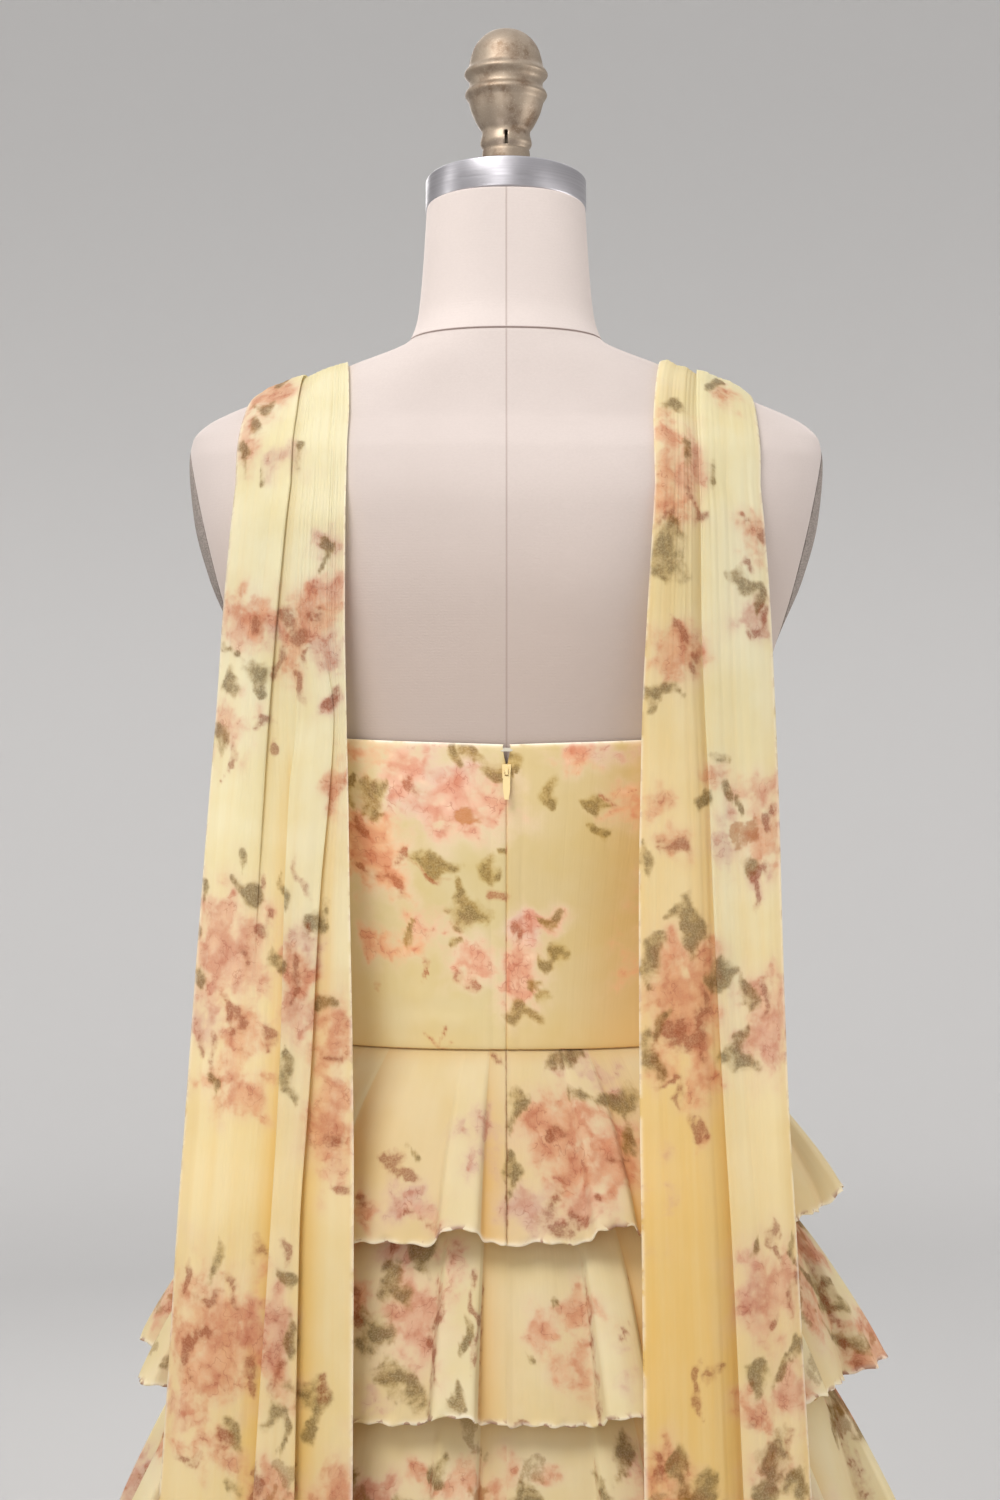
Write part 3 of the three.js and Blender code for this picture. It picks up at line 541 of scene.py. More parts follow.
    crinkle = f.noise(f.place((300, 10, 1), "cloth"), 1.0, 3, 0.55, 0.3)
    crease = f.noise(f.place((80, 9, 1), "cloth"), 1.0, 2, 0.5, 0.2)
    rough = f.bump(crease, 0.35, 0.0014)
    rough = f.bump(crinkle, 0.4, 0.0005, rough)
    rough = f.bump(grain, 0.12, 0.0002, rough)
    f.normal(rough)

    glow = f.add("ShaderNodeBsdfTranslucent")
    f.plug(glow.inputs["Color"], base)
    f.plug(glow.inputs["Normal"], rough)
    lit = f.add("ShaderNodeMixShader")
    lit.inputs[0].default_value = through
    f.plug(lit.inputs[1], f.shader.outputs[0])
    f.plug(lit.inputs[2], glow.outputs[0])
    last = lit
    if sheer > 0:
        clear = f.add("ShaderNodeBsdfTransparent")
        last = f.add("ShaderNodeMixShader")
        last.inputs[0].default_value = sheer
        f.plug(last.inputs[1], lit.outputs[0])
        f.plug(last.inputs[2], clear.outputs[0])
    f.plug(f.out.inputs["Surface"], last.outputs[0])
    return f.material


chiffon = printed_cloth(
    "printed chiffon", (243, 239, 212), (236, 202, 110), 0.12, 0.5, 0.68, 0.16, 0.2, "object"
)
tier_chiffon = printed_cloth("tier chiffon", (237, 228, 193), (230, 186, 99), 0.0, 0.45, 0.78, 0.03, 0.75)
lined_chiffon = printed_cloth("lined chiffon", (208, 193, 148), (198, 156, 84), 0.0, 0.0, 0.86, 0.0, 0.15)
print("chiffon, tier chiffon and lined chiffon")

# %% [markdown]
# ## Form cover and other finishes
# The form wears a fine off-white jersey with a hint of pink. Its knit is too small to model, so
# two crossed waves and a soft noise give it. The metal parts are turned, so their scratches run
# round the axis.

# %% Jersey, linen, metal and paint
def jersey(name, tone):
    f = Finish(name, roughness=0.9, sheen=0.25, sheen_tint=srgb(255, 244, 240))
    place = f.place((1, 1, 1))
    cloudy = f.noise(place, 9, 3, 0.5)
    fine = f.noise(f.place((1, 1, 1.6)), 620, 2, 0.6)
    base = f.mix(f.step(cloudy, 0.35, 0.7), srgb(*tone), darker(tone, 7))
    base = f.mix(f.step(fine, 0.3, 0.7, 0.0, 0.25), base, darker(tone, 14))
    parts = f.add("ShaderNodeSeparateXYZ")
    f.plug(parts.inputs[0], place)
    # Painted shade: the cover is painted darker towards the lower back, where the light from above falls off.
    wear_and_painted_shade = f.step(parts.outputs[2], 1.43, 1.24, 0.0, 0.75)
    base = f.mix(wear_and_painted_shade, base, darker(tone, 20, 26, 32))
    upright = f.step(f.math("ABSOLUTE", parts.outputs[0]), 0.0008, 0.0002, 0.0, 0.45)
    off_neck = f.math("ABSOLUTE", f.math("SUBTRACT", parts.outputs[2], (WAIST + NECK_SEAM) / 1000))
    seam = f.math("MAXIMUM", upright, f.step(off_neck, 0.0011, 0.0003, 0.0, 0.75))
    base = f.mix(seam, base, srgb(134, 112, 104))
    f.colour(base)
    rows = f.add("ShaderNodeTexWave", wave_type="BANDS", bands_direction="Z")
    f.plug(rows.inputs["Vector"], place)
    f.plug(rows.inputs["Scale"], 190.0)
    f.plug(rows.inputs["Distortion"], 1.2)
    f.normal(f.bump(fine, 0.25, 0.0004, f.bump(rows.outputs["Fac"], 0.05, 0.0003)))
    return f.material


def linen():
    f = Finish("grey linen", roughness=0.95)
    threads = f.noise(f.place((1, 1, 5)), 260, 3, 0.6)
    slubs = f.noise(f.place((4, 4, 1)), 180, 3, 0.6)
    base = f.mix(f.step(threads, 0.3, 0.7), srgb(150, 140, 133), srgb(118, 108, 102))
    base = f.mix(f.step(slubs, 0.45, 0.75, 0.0, 0.5), base, srgb(168, 158, 150))
    f.colour(base)
    f.normal(f.bump(slubs, 0.3, 0.0005, f.bump(threads, 0.3, 0.0005)))
    return f.material


def brushed_metal(name, tone, roughness):
    f = Finish(name, roughness=roughness, metallic=1.0)
    rings = f.noise(f.place((6, 6, 900)), 1.0, 3, 0.6)
    smudge = f.noise(f.place((1, 1, 1)), 30, 3, 0.5)
    base = f.mix(f.step(rings, 0.3, 0.7), srgb(*tone), darker(tone, 12))
    base = f.mix(f.step(smudge, 0.5, 0.8, 0.0, 0.15), base, darker(tone, 44))
    f.colour(base)
    f.plug(f.shader.inputs["Roughness"], f.step(rings, 0.2, 0.8, roughness, roughness + 0.14))
    f.normal(f.bump(rings, 0.04, 0.0001))
    return f.material


def champagne_paint():
    f = Finish("worn champagne metallic", roughness=0.5, metallic=0.8)
    wear_and_painted_shade = f.noise(f.place((1, 1, 1)), 70, 5, 0.6)
    flecks = f.noise(f.place((1, 1, 1)), 1100, 2, 0.6)
    base = f.mix(f.step(wear_and_painted_shade, 0.46, 0.76), srgb(158, 143, 126), srgb(118, 96, 76))
    base = f.mix(f.step(flecks, 0.5, 0.8, 0.0, 0.35), base, srgb(198, 189, 176))
    f.colour(base)
    f.plug(f.shader.inputs["Roughness"], f.step(wear_and_painted_shade, 0.3, 0.7, 0.47, 0.56))
    f.normal(f.bump(flecks, 0.08, 0.0001))
    return f.material


def painted(name, tone, roughness):
    f = Finish(name, roughness=roughness)
    peel = f.noise(f.place((1, 1, 1)), 420, 2, 0.5)
    dust = f.noise(f.place((1, 1, 1)), 12, 3, 0.5)
    f.colour(f.mix(f.step(dust, 0.4, 0.75), srgb(*tone), darker(tone, 9)))
    f.plug(f.shader.inputs["Roughness"], f.step(dust, 0.3, 0.7, roughness, roughness + 0.1))
    f.normal(f.bump(peel, 0.1, 0.0002))
    return f.material


form_cover = jersey("off-white jersey", (192, 181, 176))
# The neck gets a lighter copy of the same jersey: painted light, for the brighter light that falls on the
# neck.
neck_cover = jersey("off-white jersey, neck painted lighter", (203, 192, 187))
arm_linen = linen()
cap_metal = brushed_metal("brushed steel", (188, 186, 191), 0.3)
finial_paint = champagne_paint()
stand_paint = painted("off-white powder coat", (222, 219, 214), 0.42)
zip_enamel = painted("pale yellow enamel", (226, 202, 146), 0.35)
hook_wire = brushed_metal("plated wire", (206, 200, 184), 0.3)
print("jersey, linen, metals and paints")


def dress(piece, material, slot, body, *nodes):
    """Gives a piece its material and ties it to the frame."""
    piece.data.materials.clear()
    piece.data.materials.append(material)
    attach(piece, body)
    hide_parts(*nodes)


# %% [markdown]
# ## The dress form
# The form's solid has flat facets. The visible one is lofted from many more levels of the same
# table. The armholes are cut by a leaning plane above the armpit, and the linen plates are the
# parts beyond that plane, so they meet the cover exactly.

# %% Torso, neck and arm plates
TORSO_COLUMNS, NECK_COLUMNS = 180, 96
ARM_CUT = {"top": 353, "top_half": 190.6, "bottom": 234, "bottom_half": 162.4, "armpit": 215}


def lofted(heights, columns):
    """A closed form through levels of the form's table, as a bmesh in metres."""
    shares = np.linspace(0, 1, columns + 1)
    x, y = np.array([form_ring(height, shares) for height in heights]).transpose(1, 0, 2)
    mesh, across, down = flat_grid(columns, len(heights) - 1)
    z = WAIST + np.array(heights)[down]
    places = np.stack([x[down, across], y[down, across], z], axis=1) / 1000
    mesh.vertices.foreach_set("co", places.ravel())
    bm = bmesh.new()
    bm.from_mesh(mesh)
    bpy.data.meshes.remove(mesh)
    bmesh.ops.remove_doubles(bm, verts=bm.verts, dist=1e-6)
    close_holes(bm)
    bmesh.ops.recalc_face_normals(bm, faces=bm.faces)
    return bm


def cut_plane(hand):
    """The armhole's leaning plane: a point on it and its outward normal."""
    rise = ARM_CUT["top"] - ARM_CUT["bottom"]
    lean = math.atan2(ARM_CUT["top_half"] - ARM_CUT["bottom_half"], rise)
    middle = (ARM_CUT["top_half"] + ARM_CUT["bottom_half"]) / 2
    height = WAIST + (ARM_CUT["top"] + ARM_CUT["bottom"]) / 2
    return Vector((hand * middle, 0, height)) / 1000, Vector((hand * math.cos(lean), 0, -math.sin(lean)))


def sliced(bm, point, normal, keep_outer):
    """Cuts a closed form with a plane, keeps one side and closes the cut."""
    geometry = bm.verts[:] + bm.edges[:] + bm.faces[:]
    bmesh.ops.bisect_plane(
        bm, geom=geometry, plane_co=point, plane_no=normal,
        clear_outer=not keep_outer, clear_inner=keep_outer, dist=1e-6,
    )
    close_holes(bm)


def joined(*parts):
    """Several closed forms as one mesh."""
    whole = bmesh.new()
    for part in parts:
        mesh = mesh_from(part, "part")
        whole.from_mesh(mesh)
        bpy.data.meshes.remove(mesh)
    return mesh_from(whole, "joined")


torso_heights = np.concatenate([
    np.arange(FORM_FOOT, 340, 5.0), np.arange(340, 372, 1.6),
    np.arange(372, NECK_SEAM - 0.6, 2.4), [NECK_SEAM - SEAM_GAP],
])
armpit = Vector((0, 0, WAIST + ARM_CUT["armpit"])) / 1000
above = lofted(torso_heights, TORSO_COLUMNS)
sliced(above, armpit, Vector((0, 0, 1)), True)
below = lofted(torso_heights, TORSO_COLUMNS)
sliced(below, armpit, Vector((0, 0, 1)), False)
for hand in (1, -1):
    sliced(above, *cut_plane(hand), False)
for part in (above, below):
    shut = [face for face in part.faces if len(face.verts) > 8 and abs(face.normal.z) > 0.99
            and abs(face.calc_center_median().z - armpit.z) < 1e-5]
    bmesh.ops.delete(part, geom=shut, context="FACES_ONLY")
torso_mesh = joined(above, below)
bm = bmesh.new()
bm.from_mesh(torso_mesh)
bmesh.ops.remove_doubles(bm, verts=bm.verts, dist=2e-6)
close_holes(bm)
bm.to_mesh(torso_mesh)
bm.free()
torso = finish_piece("torso_cover", torso_mesh)
print("torso", len(torso.data.polygons), "faces")
dress(torso, form_cover, "form_cover", "dress_and_form", "form_torso")


def lean_up(y):
    """How far the neck's top is raised: a form's neck slopes down towards the front."""
    return 3 + 0.089 * y


neck_heights = np.concatenate([[NECK_SEAM], np.arange(NECK_SEAM + 1, NECK_TOP, 3.0), [NECK_TOP]])
neck_form = lofted(neck_heights, NECK_COLUMNS)
for vert in neck_form.verts:
    up = (vert.co.z * 1000 - WAIST - NECK_SEAM) / (NECK_TOP - NECK_SEAM)
    vert.co.z += up * lean_up(vert.co.y * 1000) / 1000
neck_mesh = joined(neck_form)
neck = finish_piece("neck_cover", neck_mesh)
dress(neck, neck_cover, "form_cover", "dress_and_form", "form_neck")

for hand, side in ((1, "left"), (-1, "right")):
    plate = lofted(torso_heights, TORSO_COLUMNS)
    sliced(plate, armpit + Vector((0, 0, SEAM_GAP / 1000)), Vector((0, 0, 1)), True)
    point, normal = cut_plane(hand)
    sliced(plate, point + normal * (SEAM_GAP / 1000), normal, True)
    piece = finish_piece(f"arm_plate_{side}_linen", joined(plate))
    dress(piece, arm_linen, "arm_linen", "dress_and_form", f"arm_plate_{side}")

# %% [markdown]
# ## Turned parts
# The knob, the cap, the pole and the base come off a lathe. A profile spun round the axis is
# exactly that, and a bevel softens the cap's edges as the turner's file does.

# %% Lathe
CAP_RADIUS = 49
CAP_FOOT = WAIST + NECK_TOP + SEAM_GAP
CAP_TOP = CAP_FOOT + 18.2
KNOB_FOOT = WAIST + NECK_TOP + 19.5 + 2 * SEAM_GAP  # on the solid's cap, which is 19.5 tall


def spun(profile, steps, dist):
    """A bmesh spun round the upright axis from a profile of radius and height in metres."""
    bm = bmesh.new()
    line = [bm.verts.new((radius, 0, height)) for radius, height in profile]
    edges = [bm.edges.new(pair) for pair in zip(line, line[1:])]
    bmesh.ops.spin(
        bm, geom=line + edges, cent=(0, 0, 0), axis=(0, 0, 1), angle=2 * math.pi, steps=steps, use_merge=True
    )
    bmesh.ops.remove_doubles(bm, verts=bm.verts, dist=dist)
    bmesh.ops.recalc_face_normals(bm, faces=bm.faces)
    return bm


def turned(name, profile, steps):
    """A lathe-turned piece from a profile in millimetres."""
    bm = spun([(radius / 1000, height / 1000) for radius, height in profile], steps, 1e-6)
    return finish_piece(name, mesh_from(bm, name))


def rounded(piece, millimetres, segments=3):
    """Bevels the hard edges of a turned piece."""
    bevel = piece.modifiers.new("bevel", "BEVEL")
    bevel.width = millimetres / 1000
    bevel.segments = segments
    bevel.limit_method = "ANGLE"
    bevel.angle_limit = math.radians(35)
    bevel.harden_normals = False


cap = turned("cap", [(0, CAP_FOOT), (CAP_RADIUS, CAP_FOOT), (CAP_RADIUS, CAP_TOP), (0, CAP_TOP)], 128)
for vert in cap.data.vertices:
    vert.co.z += lean_up(vert.co.y * 1000) / 1000
rounded(cap, 1.2)
dress(cap, cap_metal, "brushed_metal", "dress_and_form", "neck_cap")

KNOB = [
    (14.6, 2), (14.6, 18.8), (13.9, 21), (15.6, 24.1), (15.6, 26.4), (14.7, 30), (14.8, 32.6),
    (16.6, 35.3), (19.1, 39.8), (21.1, 44.3), (22.4, 48.8), (23, 50.8), (24.7, 53.4), (25.1, 54.8),
    (24.4, 56.6), (22.7, 58.8), (22.4, 61.6), (23, 63.6), (25, 66), (25.5, 67.3), (24.8, 69), (22.9, 71.6),
    (22, 75.7), (20.8, 80.1), (18.8, 84.6), (15.2, 89.1), (10.8, 92.4), (5.4, 94.3), (0, 94.8),
]


def eased(profile, cuts):
    """Adds points to a profile along a curve through its own."""
    points = [Vector((radius, height)) for radius, height in profile]
    result = []
    for i in range(len(points) - 1):
        before, after = points[max(0, i - 1)], points[min(len(points) - 1, i + 2)]
        here, there = points[i], points[i + 1]
        for k in range(cuts):
            t = k / cuts
            result.append(tuple(
                0.5 * (2 * here + (there - before) * t + (2 * before - 5 * here + 4 * there - after) * t * t
                       + (3 * here - before - 3 * there + after) * t ** 3)
            ))
    return [(max(0, radius), height) for radius, height in result] + [profile[-1]]


knob = turned("knob", [(r, KNOB_FOOT + h) for r, h in eased(KNOB, 4)], 96)
print("knob", len(knob.data.polygons), "faces")


def box_cutter(low, high, round_by=0):
    bm = bmesh.new()
    bmesh.ops.create_cube(bm, size=1)
    size = [b - a for a, b in zip(low, high)]
    middle = [(a + b) / 2 for a, b in zip(low, high)]
    bmesh.ops.scale(bm, vec=Vector(size) / 1000, verts=bm.verts)
    bmesh.ops.translate(bm, vec=Vector(middle) / 1000, verts=bm.verts)
    if round_by:
        bmesh.ops.bevel(
            bm, geom=bm.edges[:], offset=round_by / 1000, offset_type="OFFSET", segments=3, profile=0.5,
            affect="EDGES", material=-1,
        )
    tool = bpy.data.objects.new("cutter", mesh_from(bm, "cutter"))
    bpy.context.scene.collection.objects.link(tool)
    return tool


def carve(piece, tool):
    """Takes a tool's space out of a piece, and removes the tool."""
    bm = bmesh.new()
    bm.from_mesh(piece.data)
    close_holes(bm)
    bmesh.ops.recalc_face_normals(bm, faces=bm.faces)
    bm.to_mesh(piece.data)
    bm.free()
    cut = piece.modifiers.new("cut", "BOOLEAN")
    cut.operation, cut.solver, cut.object = "DIFFERENCE", "EXACT", tool
    seen = piece.evaluated_get(bpy.context.evaluated_depsgraph_get())
    carved = bpy.data.meshes.new_from_object(seen)
    piece.modifiers.clear()
    piece.data = carved
    bpy.data.objects.remove(tool)


carve(knob, box_cutter((-1.0, 3, KNOB_FOOT + 21.7), (1.0, 30, KNOB_FOOT + 30.1), 0.35))
dress(knob, finial_paint, "finial_paint", "dress_and_form", "finial")

BASE_TOP, COLLAR_TALL = 16, 34
POLE_FOOT = BASE_TOP + SEAM_GAP
COLLAR_FOOT = WAIST + FORM_FOOT - SEAM_GAP - COLLAR_TALL
COLLAR_TOP = COLLAR_FOOT + COLLAR_TALL
POLE_TOP = COLLAR_FOOT - SEAM_GAP
STAND = (
    ("base", [(0, 0), (199, 0), (200, 1), (200, 11), (195, BASE_TOP), (0, BASE_TOP)],
     160, 2.2, stand_paint, "stand_paint", "stand_base"),
    ("pole", [(0, POLE_FOOT), (16, POLE_FOOT), (16, POLE_TOP), (0, POLE_TOP)],
     64, 0.8, cap_metal, "brushed_metal", "stand_pole"),
    ("pole_collar",
     [(0, COLLAR_FOOT), (22, COLLAR_FOOT), (30, COLLAR_FOOT + 8), (30, COLLAR_TOP), (0, COLLAR_TOP)],
     64, 1.0, stand_paint, "stand_paint", "stand_collar"),
)
for name, profile, steps, edge, material, slot, node in STAND:
    piece = turned(name, profile, steps)
    rounded(piece, edge)
    dress(piece, material, slot, "dress_and_form", node)

# %% [markdown]
# ## The bodice
# Five lined panels follow the form. Each edge turns under a little, which is what makes a seam
# show as a fine groove. The centre back parts in a small notch above the hidden zip.

# %% Bodice panels
NECKLINE = table(
    "share height",
    (0, 175), (0.1, 178), (0.2, 186), (0.26, 191), (0.33, 207), (0.365, 222), (0.425, 222),
    (0.455, 207), (0.5, 194),
)
PERIMETER = 760
HALF_SEAM = SEAM_GAP / 2 / PERIMETER
GIRTH_SHARES = 36  # the panels' widths are counted in these
BODICE_TOP, BODICE_FOOT = 222, 0.1
PANEL_ROWS, SHARE_COLUMNS = 70, 14
BODICE = (
    ("bodice_back_left", 0, 9), ("bodice_side_left", 9, 14), ("bodice_front", 14, 22),
    ("bodice_side_right", 22, 27), ("bodice_back_right", 27, 36),
)
LEVEL_STEP, RING_POINTS = 2.0, 1440
LEVELS = np.arange(-2, 226, LEVEL_STEP)
AROUND = np.linspace(0, 1, RING_POINTS + 1)
ring_x, ring_y = np.array([form_ring(height, AROUND) for height in LEVELS]).transpose(1, 0, 2)


def on_form(share, height, out):
    """Points on the form at a share round and a height each, moved out square to its outline."""
    i = np.clip(((height - LEVELS[0]) / LEVEL_STEP).astype(int), 0, len(LEVELS) - 2)
    t = (height - LEVELS[i]) / LEVEL_STEP
    s = np.mod(share, 1) * RING_POINTS
    j = np.clip(s.astype(int), 0, RING_POINTS - 1)
    u = s - j

    def read(grid):
        low = grid[i, j] * (1 - u) + grid[i, j + 1] * u
        high = grid[i + 1, j] * (1 - u) + grid[i + 1, j + 1] * u
        return low * (1 - t) + high * t

    def slope(grid):
        return grid[i, j + 1] - grid[i, j]

    size = np.hypot(slope(ring_x), slope(ring_y))
    return read(ring_x) - slope(ring_y) / size * out, read(ring_y) + slope(ring_x) / size * out


# Where the bodice's print has blooms and marks: across from the centre back towards the left,
# height and two half sizes. A bloom's strength follows, or a mark's lean where it has one.
BODICE_BLOOMS = by_kind(
    pink=[
        (55, 159, 17, 16, 1), (24, 140, 28, 21, 1), (22, 51, 17, 14, 0.9), (45, 70, 26, 16, 0.55),
        (-25, 75, 14, 9, 0.75), (-8, 42, 15, 24, 0.95),
    ],
    coral=[
        (74, 172, 16, 14, 0.8), (78, 116, 23, 27, 1), (64, 97, 11, 15, 1), (68, 60, 17, 16, 0.65),
        (86, 58, 10, 12, 0.7), (-34, 166, 14, 10, 0.7), (-70, 142, 20, 16, 0.65), (-80, 60, 18, 40, 0.4),
    ],
    mauve=[
        (40, 152, 38, 30, 0.8), (-45, 170, 30, 8, 0.6), (-13, 69, 13, 12, 0.9),
    ],
)
BODICE_MARKS = by_kind(
    olive=[
        (73, 147, 6, 15, -12), (69, 141, 5, 12, 10), (27, 170, 4, 8), (18, 168, 7, 7),
        (6, 162, 10, 5, -30), (38, 107, 16, 7, 10), (10, 106, 8, 9), (3, 116, 5, 3), (23, 80, 13, 11),
        (27, 93, 4, 7), (58, 66, 3, 9, 25), (32, 63, 6, 3), (-24, 150, 5, 10), (-49, 142, 9, 4),
        (-49, 127, 6, 4), (-33, 58, 9, 8), (-22, 52, 9, 3, 40), (-19, 39, 5, 3), (-26, 33, 6, 4),
        (-11, 20, 14, 6, 5), (-26, 76, 8, 4), (-2, 165, 4, 8), (84, 150, 3, 9),
    ],
    heart=[
        (21, 134, 6, 5),
    ],
    rust=[
        (64, 95, 4, 13, -15), (58, 110, 5, 4), (6, 90, 6, 4, 20), (53, 45, 2.2, 8, 8), (32, 41, 3, 6),
        (22, 37, 5, 3), (46, 4, 9, 2.4), (42, 9, 2.4, 5), (78, 104, 14, 2, 12), (82, 128, 3, 9),
        (50, 152, 7, 2, 20), (-56, 145, 6, 2, 20), (-8, 67, 3, 6), (44, 102, 12, 2, 30), (83, 38, 4, 5),
    ],
)


def bodice_print(across, height):
    side_blooms, side_marks = scattered(11, 110, 380, 0, 215, 46)
    other_blooms, other_marks = scattered(12, -380, -110, 0, 215, 46)
    blooms = BODICE_BLOOMS + side_blooms + other_blooms
    return paint(across, height, blooms, BODICE_MARKS + side_marks + other_marks)


def bodice_panel(name, first, last, columns, rows):
    begin, end = first / GIRTH_SHARES, last / GIRTH_SHARES
    share = np.linspace(begin, end, columns + 1)
    share[0] += HALF_SEAM
    share[-1] -= HALF_SEAM
    inner_share = np.minimum(share, 1 - share)
    top = column(NECKLINE, "share", "height", inner_share)
    ends = np.array([0, 0.004, 0.008, 0.013])
    t = np.concatenate([ends, np.linspace(0.02, 0.98, rows - 7), 1 - ends[::-1]])[:, None]
    height = top[None, :] + (BODICE_FOOT - top[None, :]) * t
    share = np.broadcast_to(share, height.shape).copy()
    near_back = bell(np.minimum(share, 1 - share) * PERIMETER, 1.5)
    parted = 2.2 * np.maximum(0, (height - 160) / 15) * near_back
    share += np.sign(0.5 - share) * parted / PERIMETER
    edge = np.minimum(share - begin, end - share) * PERIMETER
    groove = 0.7 * bell(edge, 0.9)
    hem = 0.7 * bell(top[None, :] - height, 1.6)
    across = np.where(share > 0.5, share - 1, share) * PERIMETER
    drag = 0.5 * bell(height - 14 - 0.04 * across, 5) * bell(across - 40, 30)
    drag += 0.35 * bell(height - 30, 6) * bell(across - 62, 26)
    ripple = 0.22 * np.sin(across / 9 + 1.3 * np.sin(height / 31)) * bell(height - 90, 70)
    zip_line = 0.35 * bell(np.abs(across) - 9, 1.6)
    waist = 0.5 * bell(height, 1.6)
    x, y = on_form(share, height, CLEARANCE + 2.3 - groove - hem + drag + ripple - zip_line - waist)
    fields = bodice_print(across, height)
    # Painted shade: darker at the seams, the waist and the wearer's right side, where less light falls, with
    # a painted highlight in a strip on the left.
    fields["painted_shade"] = 0.12 + 0.5 * bell(edge, 0.9) + 0.15 * bell(height, 12)
    fields["painted_shade"] += 0.5 * bell(height, 0.8)
    fields["painted_shade"] += 0.42 / (1 + np.exp((across + 56) / 9)) * (np.abs(across) < 120)
    fields["painted_shade"] += 0.2 * (across < 0) - 0.12 * bell(across - 72, 9)
    fields["painted_shade"] = np.clip(fields["painted_shade"], 0, 1)
    seam_line = 0.62 * bell(edge, 0.8) + 0.5 * bell(height, 0.7)
    fields["mark"][..., 1] = np.maximum(fields["mark"][..., 1], seam_line)
    fields["rim"] = bell(top[None, :] - height, 1.2)
    piece = cloth(name + "_cloth", x, y, WAIST + height, across / 1000, (BODICE_TOP - height) / 1000,
                  fields=fields)
    thicken(piece, 1.4, 1)
    dress(piece, lined_chiffon, "lined_chiffon", "dress_and_form", name)
    print(name, "area", round(area_of(piece), 4))


for name, first, last in BODICE:
    bodice_panel(name, first, last, SHARE_COLUMNS * (last - first), PANEL_ROWS)

# %% [markdown]
# ## The underskirt and the tiers
# A plain flared underskirt carries four gathered tiers. Each tier lies almost flat, broken by
# narrow box folds that stand out in front and lift the raw hem in small arches. The tiers' points
# are spaced by the cloth's own length, so the steep sides of the folds get their share.

# %% Box folds
FLUTES = 12
FIRST_FOLD = 0.025
TIER_COLUMNS, TIER_ROWS = 680, 34
SHOWN = 108  # half the width whose print is listed in the tables
FLUTE_SHAPE = ((0, 1.05), (0.11, 1), (0.155, 0.03), (0.5, 0.14), (0.845, 0.03), (0.89, 1))
FLARE = table("at out", (0, 0), (0.3, 0.42), (0.58, 0.71), (0.86, 0.95), (1, 1.04))
# Each tier's name, top, hem, side, front and back at the hem, fold depth, lift and sway of the hem.
TIERS = (
    ("tier_1", 0, -103, (189, 134, 124), 6, 10, 1.5),
    ("tier_2", -86, -201, (202, 150, 139), 13, 8, 2),
    ("tier_3", -188, -310, (217, 165, 154), 14, 7, 2.5),
    ("tier_4", -290, -412, (230, 180, 169), 13.5, 6, 3),
)


def uneven(index, salt):
    wave = math.sin(index * 12.9898 + salt * 78.233) * 43758.5453
    return 2 * (wave - math.floor(wave)) - 1


def fold_start(index):
    """Where a fold begins, as a share of the way round."""
    return FIRST_FOLD + index / FLUTES + (0 if index % FLUTES == 0 else 0.01 * uneven(index, 1))


def fold_columns(salt):
    """Where each fold lies round a tier, how far out it stands, and which fold it is."""
    rows = []
    for index in range(FLUTES):
        deep = 1 + 0.15 * uneven(index, salt + 2)
        for at, out in FLUTE_SHAPE:
            share = (fold_start(index) * (1 - at) + fold_start(index + 1) * at) % 1
            full = 1 + 0.9 * math.sin(2 * math.pi * share) ** 2
            rows.append((share, out * deep * full, min(out, 1), index))
    return np.array(sorted(rows))


def edge_shares(at):
    """Shares of the line at the same place on every fold."""
    begins = np.array([fold_start(index) for index in range(FLUTES)])
    ends = np.append(begins[1:], begins[0] + 1)
    return np.mod(begins + (ends - begins) * at, 1)


def round_trip(rows, shares, k):
    """A column of the folds at any share, carried on round the back."""
    at = np.concatenate([rows[-2:, 0] - 1, rows[:, 0], rows[:2, 0] + 1])
    value = np.concatenate([rows[-2:, k], rows[:, k], rows[:2, k]])
    return np.interp(shares, at, value)


def even_shares(rows, flute, girth, count, first, last):
    """Shares that are evenly spaced along the folded cloth."""
    fine = np.linspace(first, last, 6001)
    out = flute * round_trip(rows, fine, 1)
    walked = np.concatenate([[0], np.cumsum(np.hypot(np.diff(fine) * girth, np.diff(out)))])
    return np.interp(np.linspace(0, walked[-1], count + 1), walked, fine), walked[-1]


TIER_BLOOMS = {
    "tier_1": by_kind(
        mauve=[
            (55, -82, 19, 13, 0.75), (14, -48, 18, 28, 0.45), (-32, -8, 16, 12, 0.55),
            (-55, -16, 15, 12, 0.6), (-14, -82, 18, 16, 0.85),
        ],
        pink=[
            (45, -88, 12, 8, 0.7), (-62, -44, 14, 12, 0.8), (-46, -82, 17, 14, 0.9),
        ],
        coral=[
            (83, -84, 12, 12, 0.7), (-29, -40, 25, 21, 1), (-60, -60, 18, 20, 1), (-36, -66, 22, 14, 0.8),
        ],
    ),
    "tier_2": by_kind(
        coral=[
            (84, -98, 14, 14, 0.9), (84, -134, 11, 18, 0.9), (-20, -148, 11, 13, 0.8),
            (-38, -140, 17, 14, 0.7), (-38, -171, 17, 17, 0.75),
        ],
        mauve=[
            (64, -106, 18, 15, 1), (78, -186, 16, 12, 0.5), (-66, -170, 10, 26, 0.5),
        ],
        pink=[
            (53, -146, 20, 30, 0.9), (30, -120, 12, 20, 0.5),
        ],
    ),
    "tier_3": by_kind(
        coral=[
            (49, -227, 8, 8, 0.8), (-20, -226, 10, 8, 0.7), (2, -244, 9, 8, 0.8),
        ],
        mauve=[
            (-64, -222, 12, 16, 0.5),
        ],
    ),
}
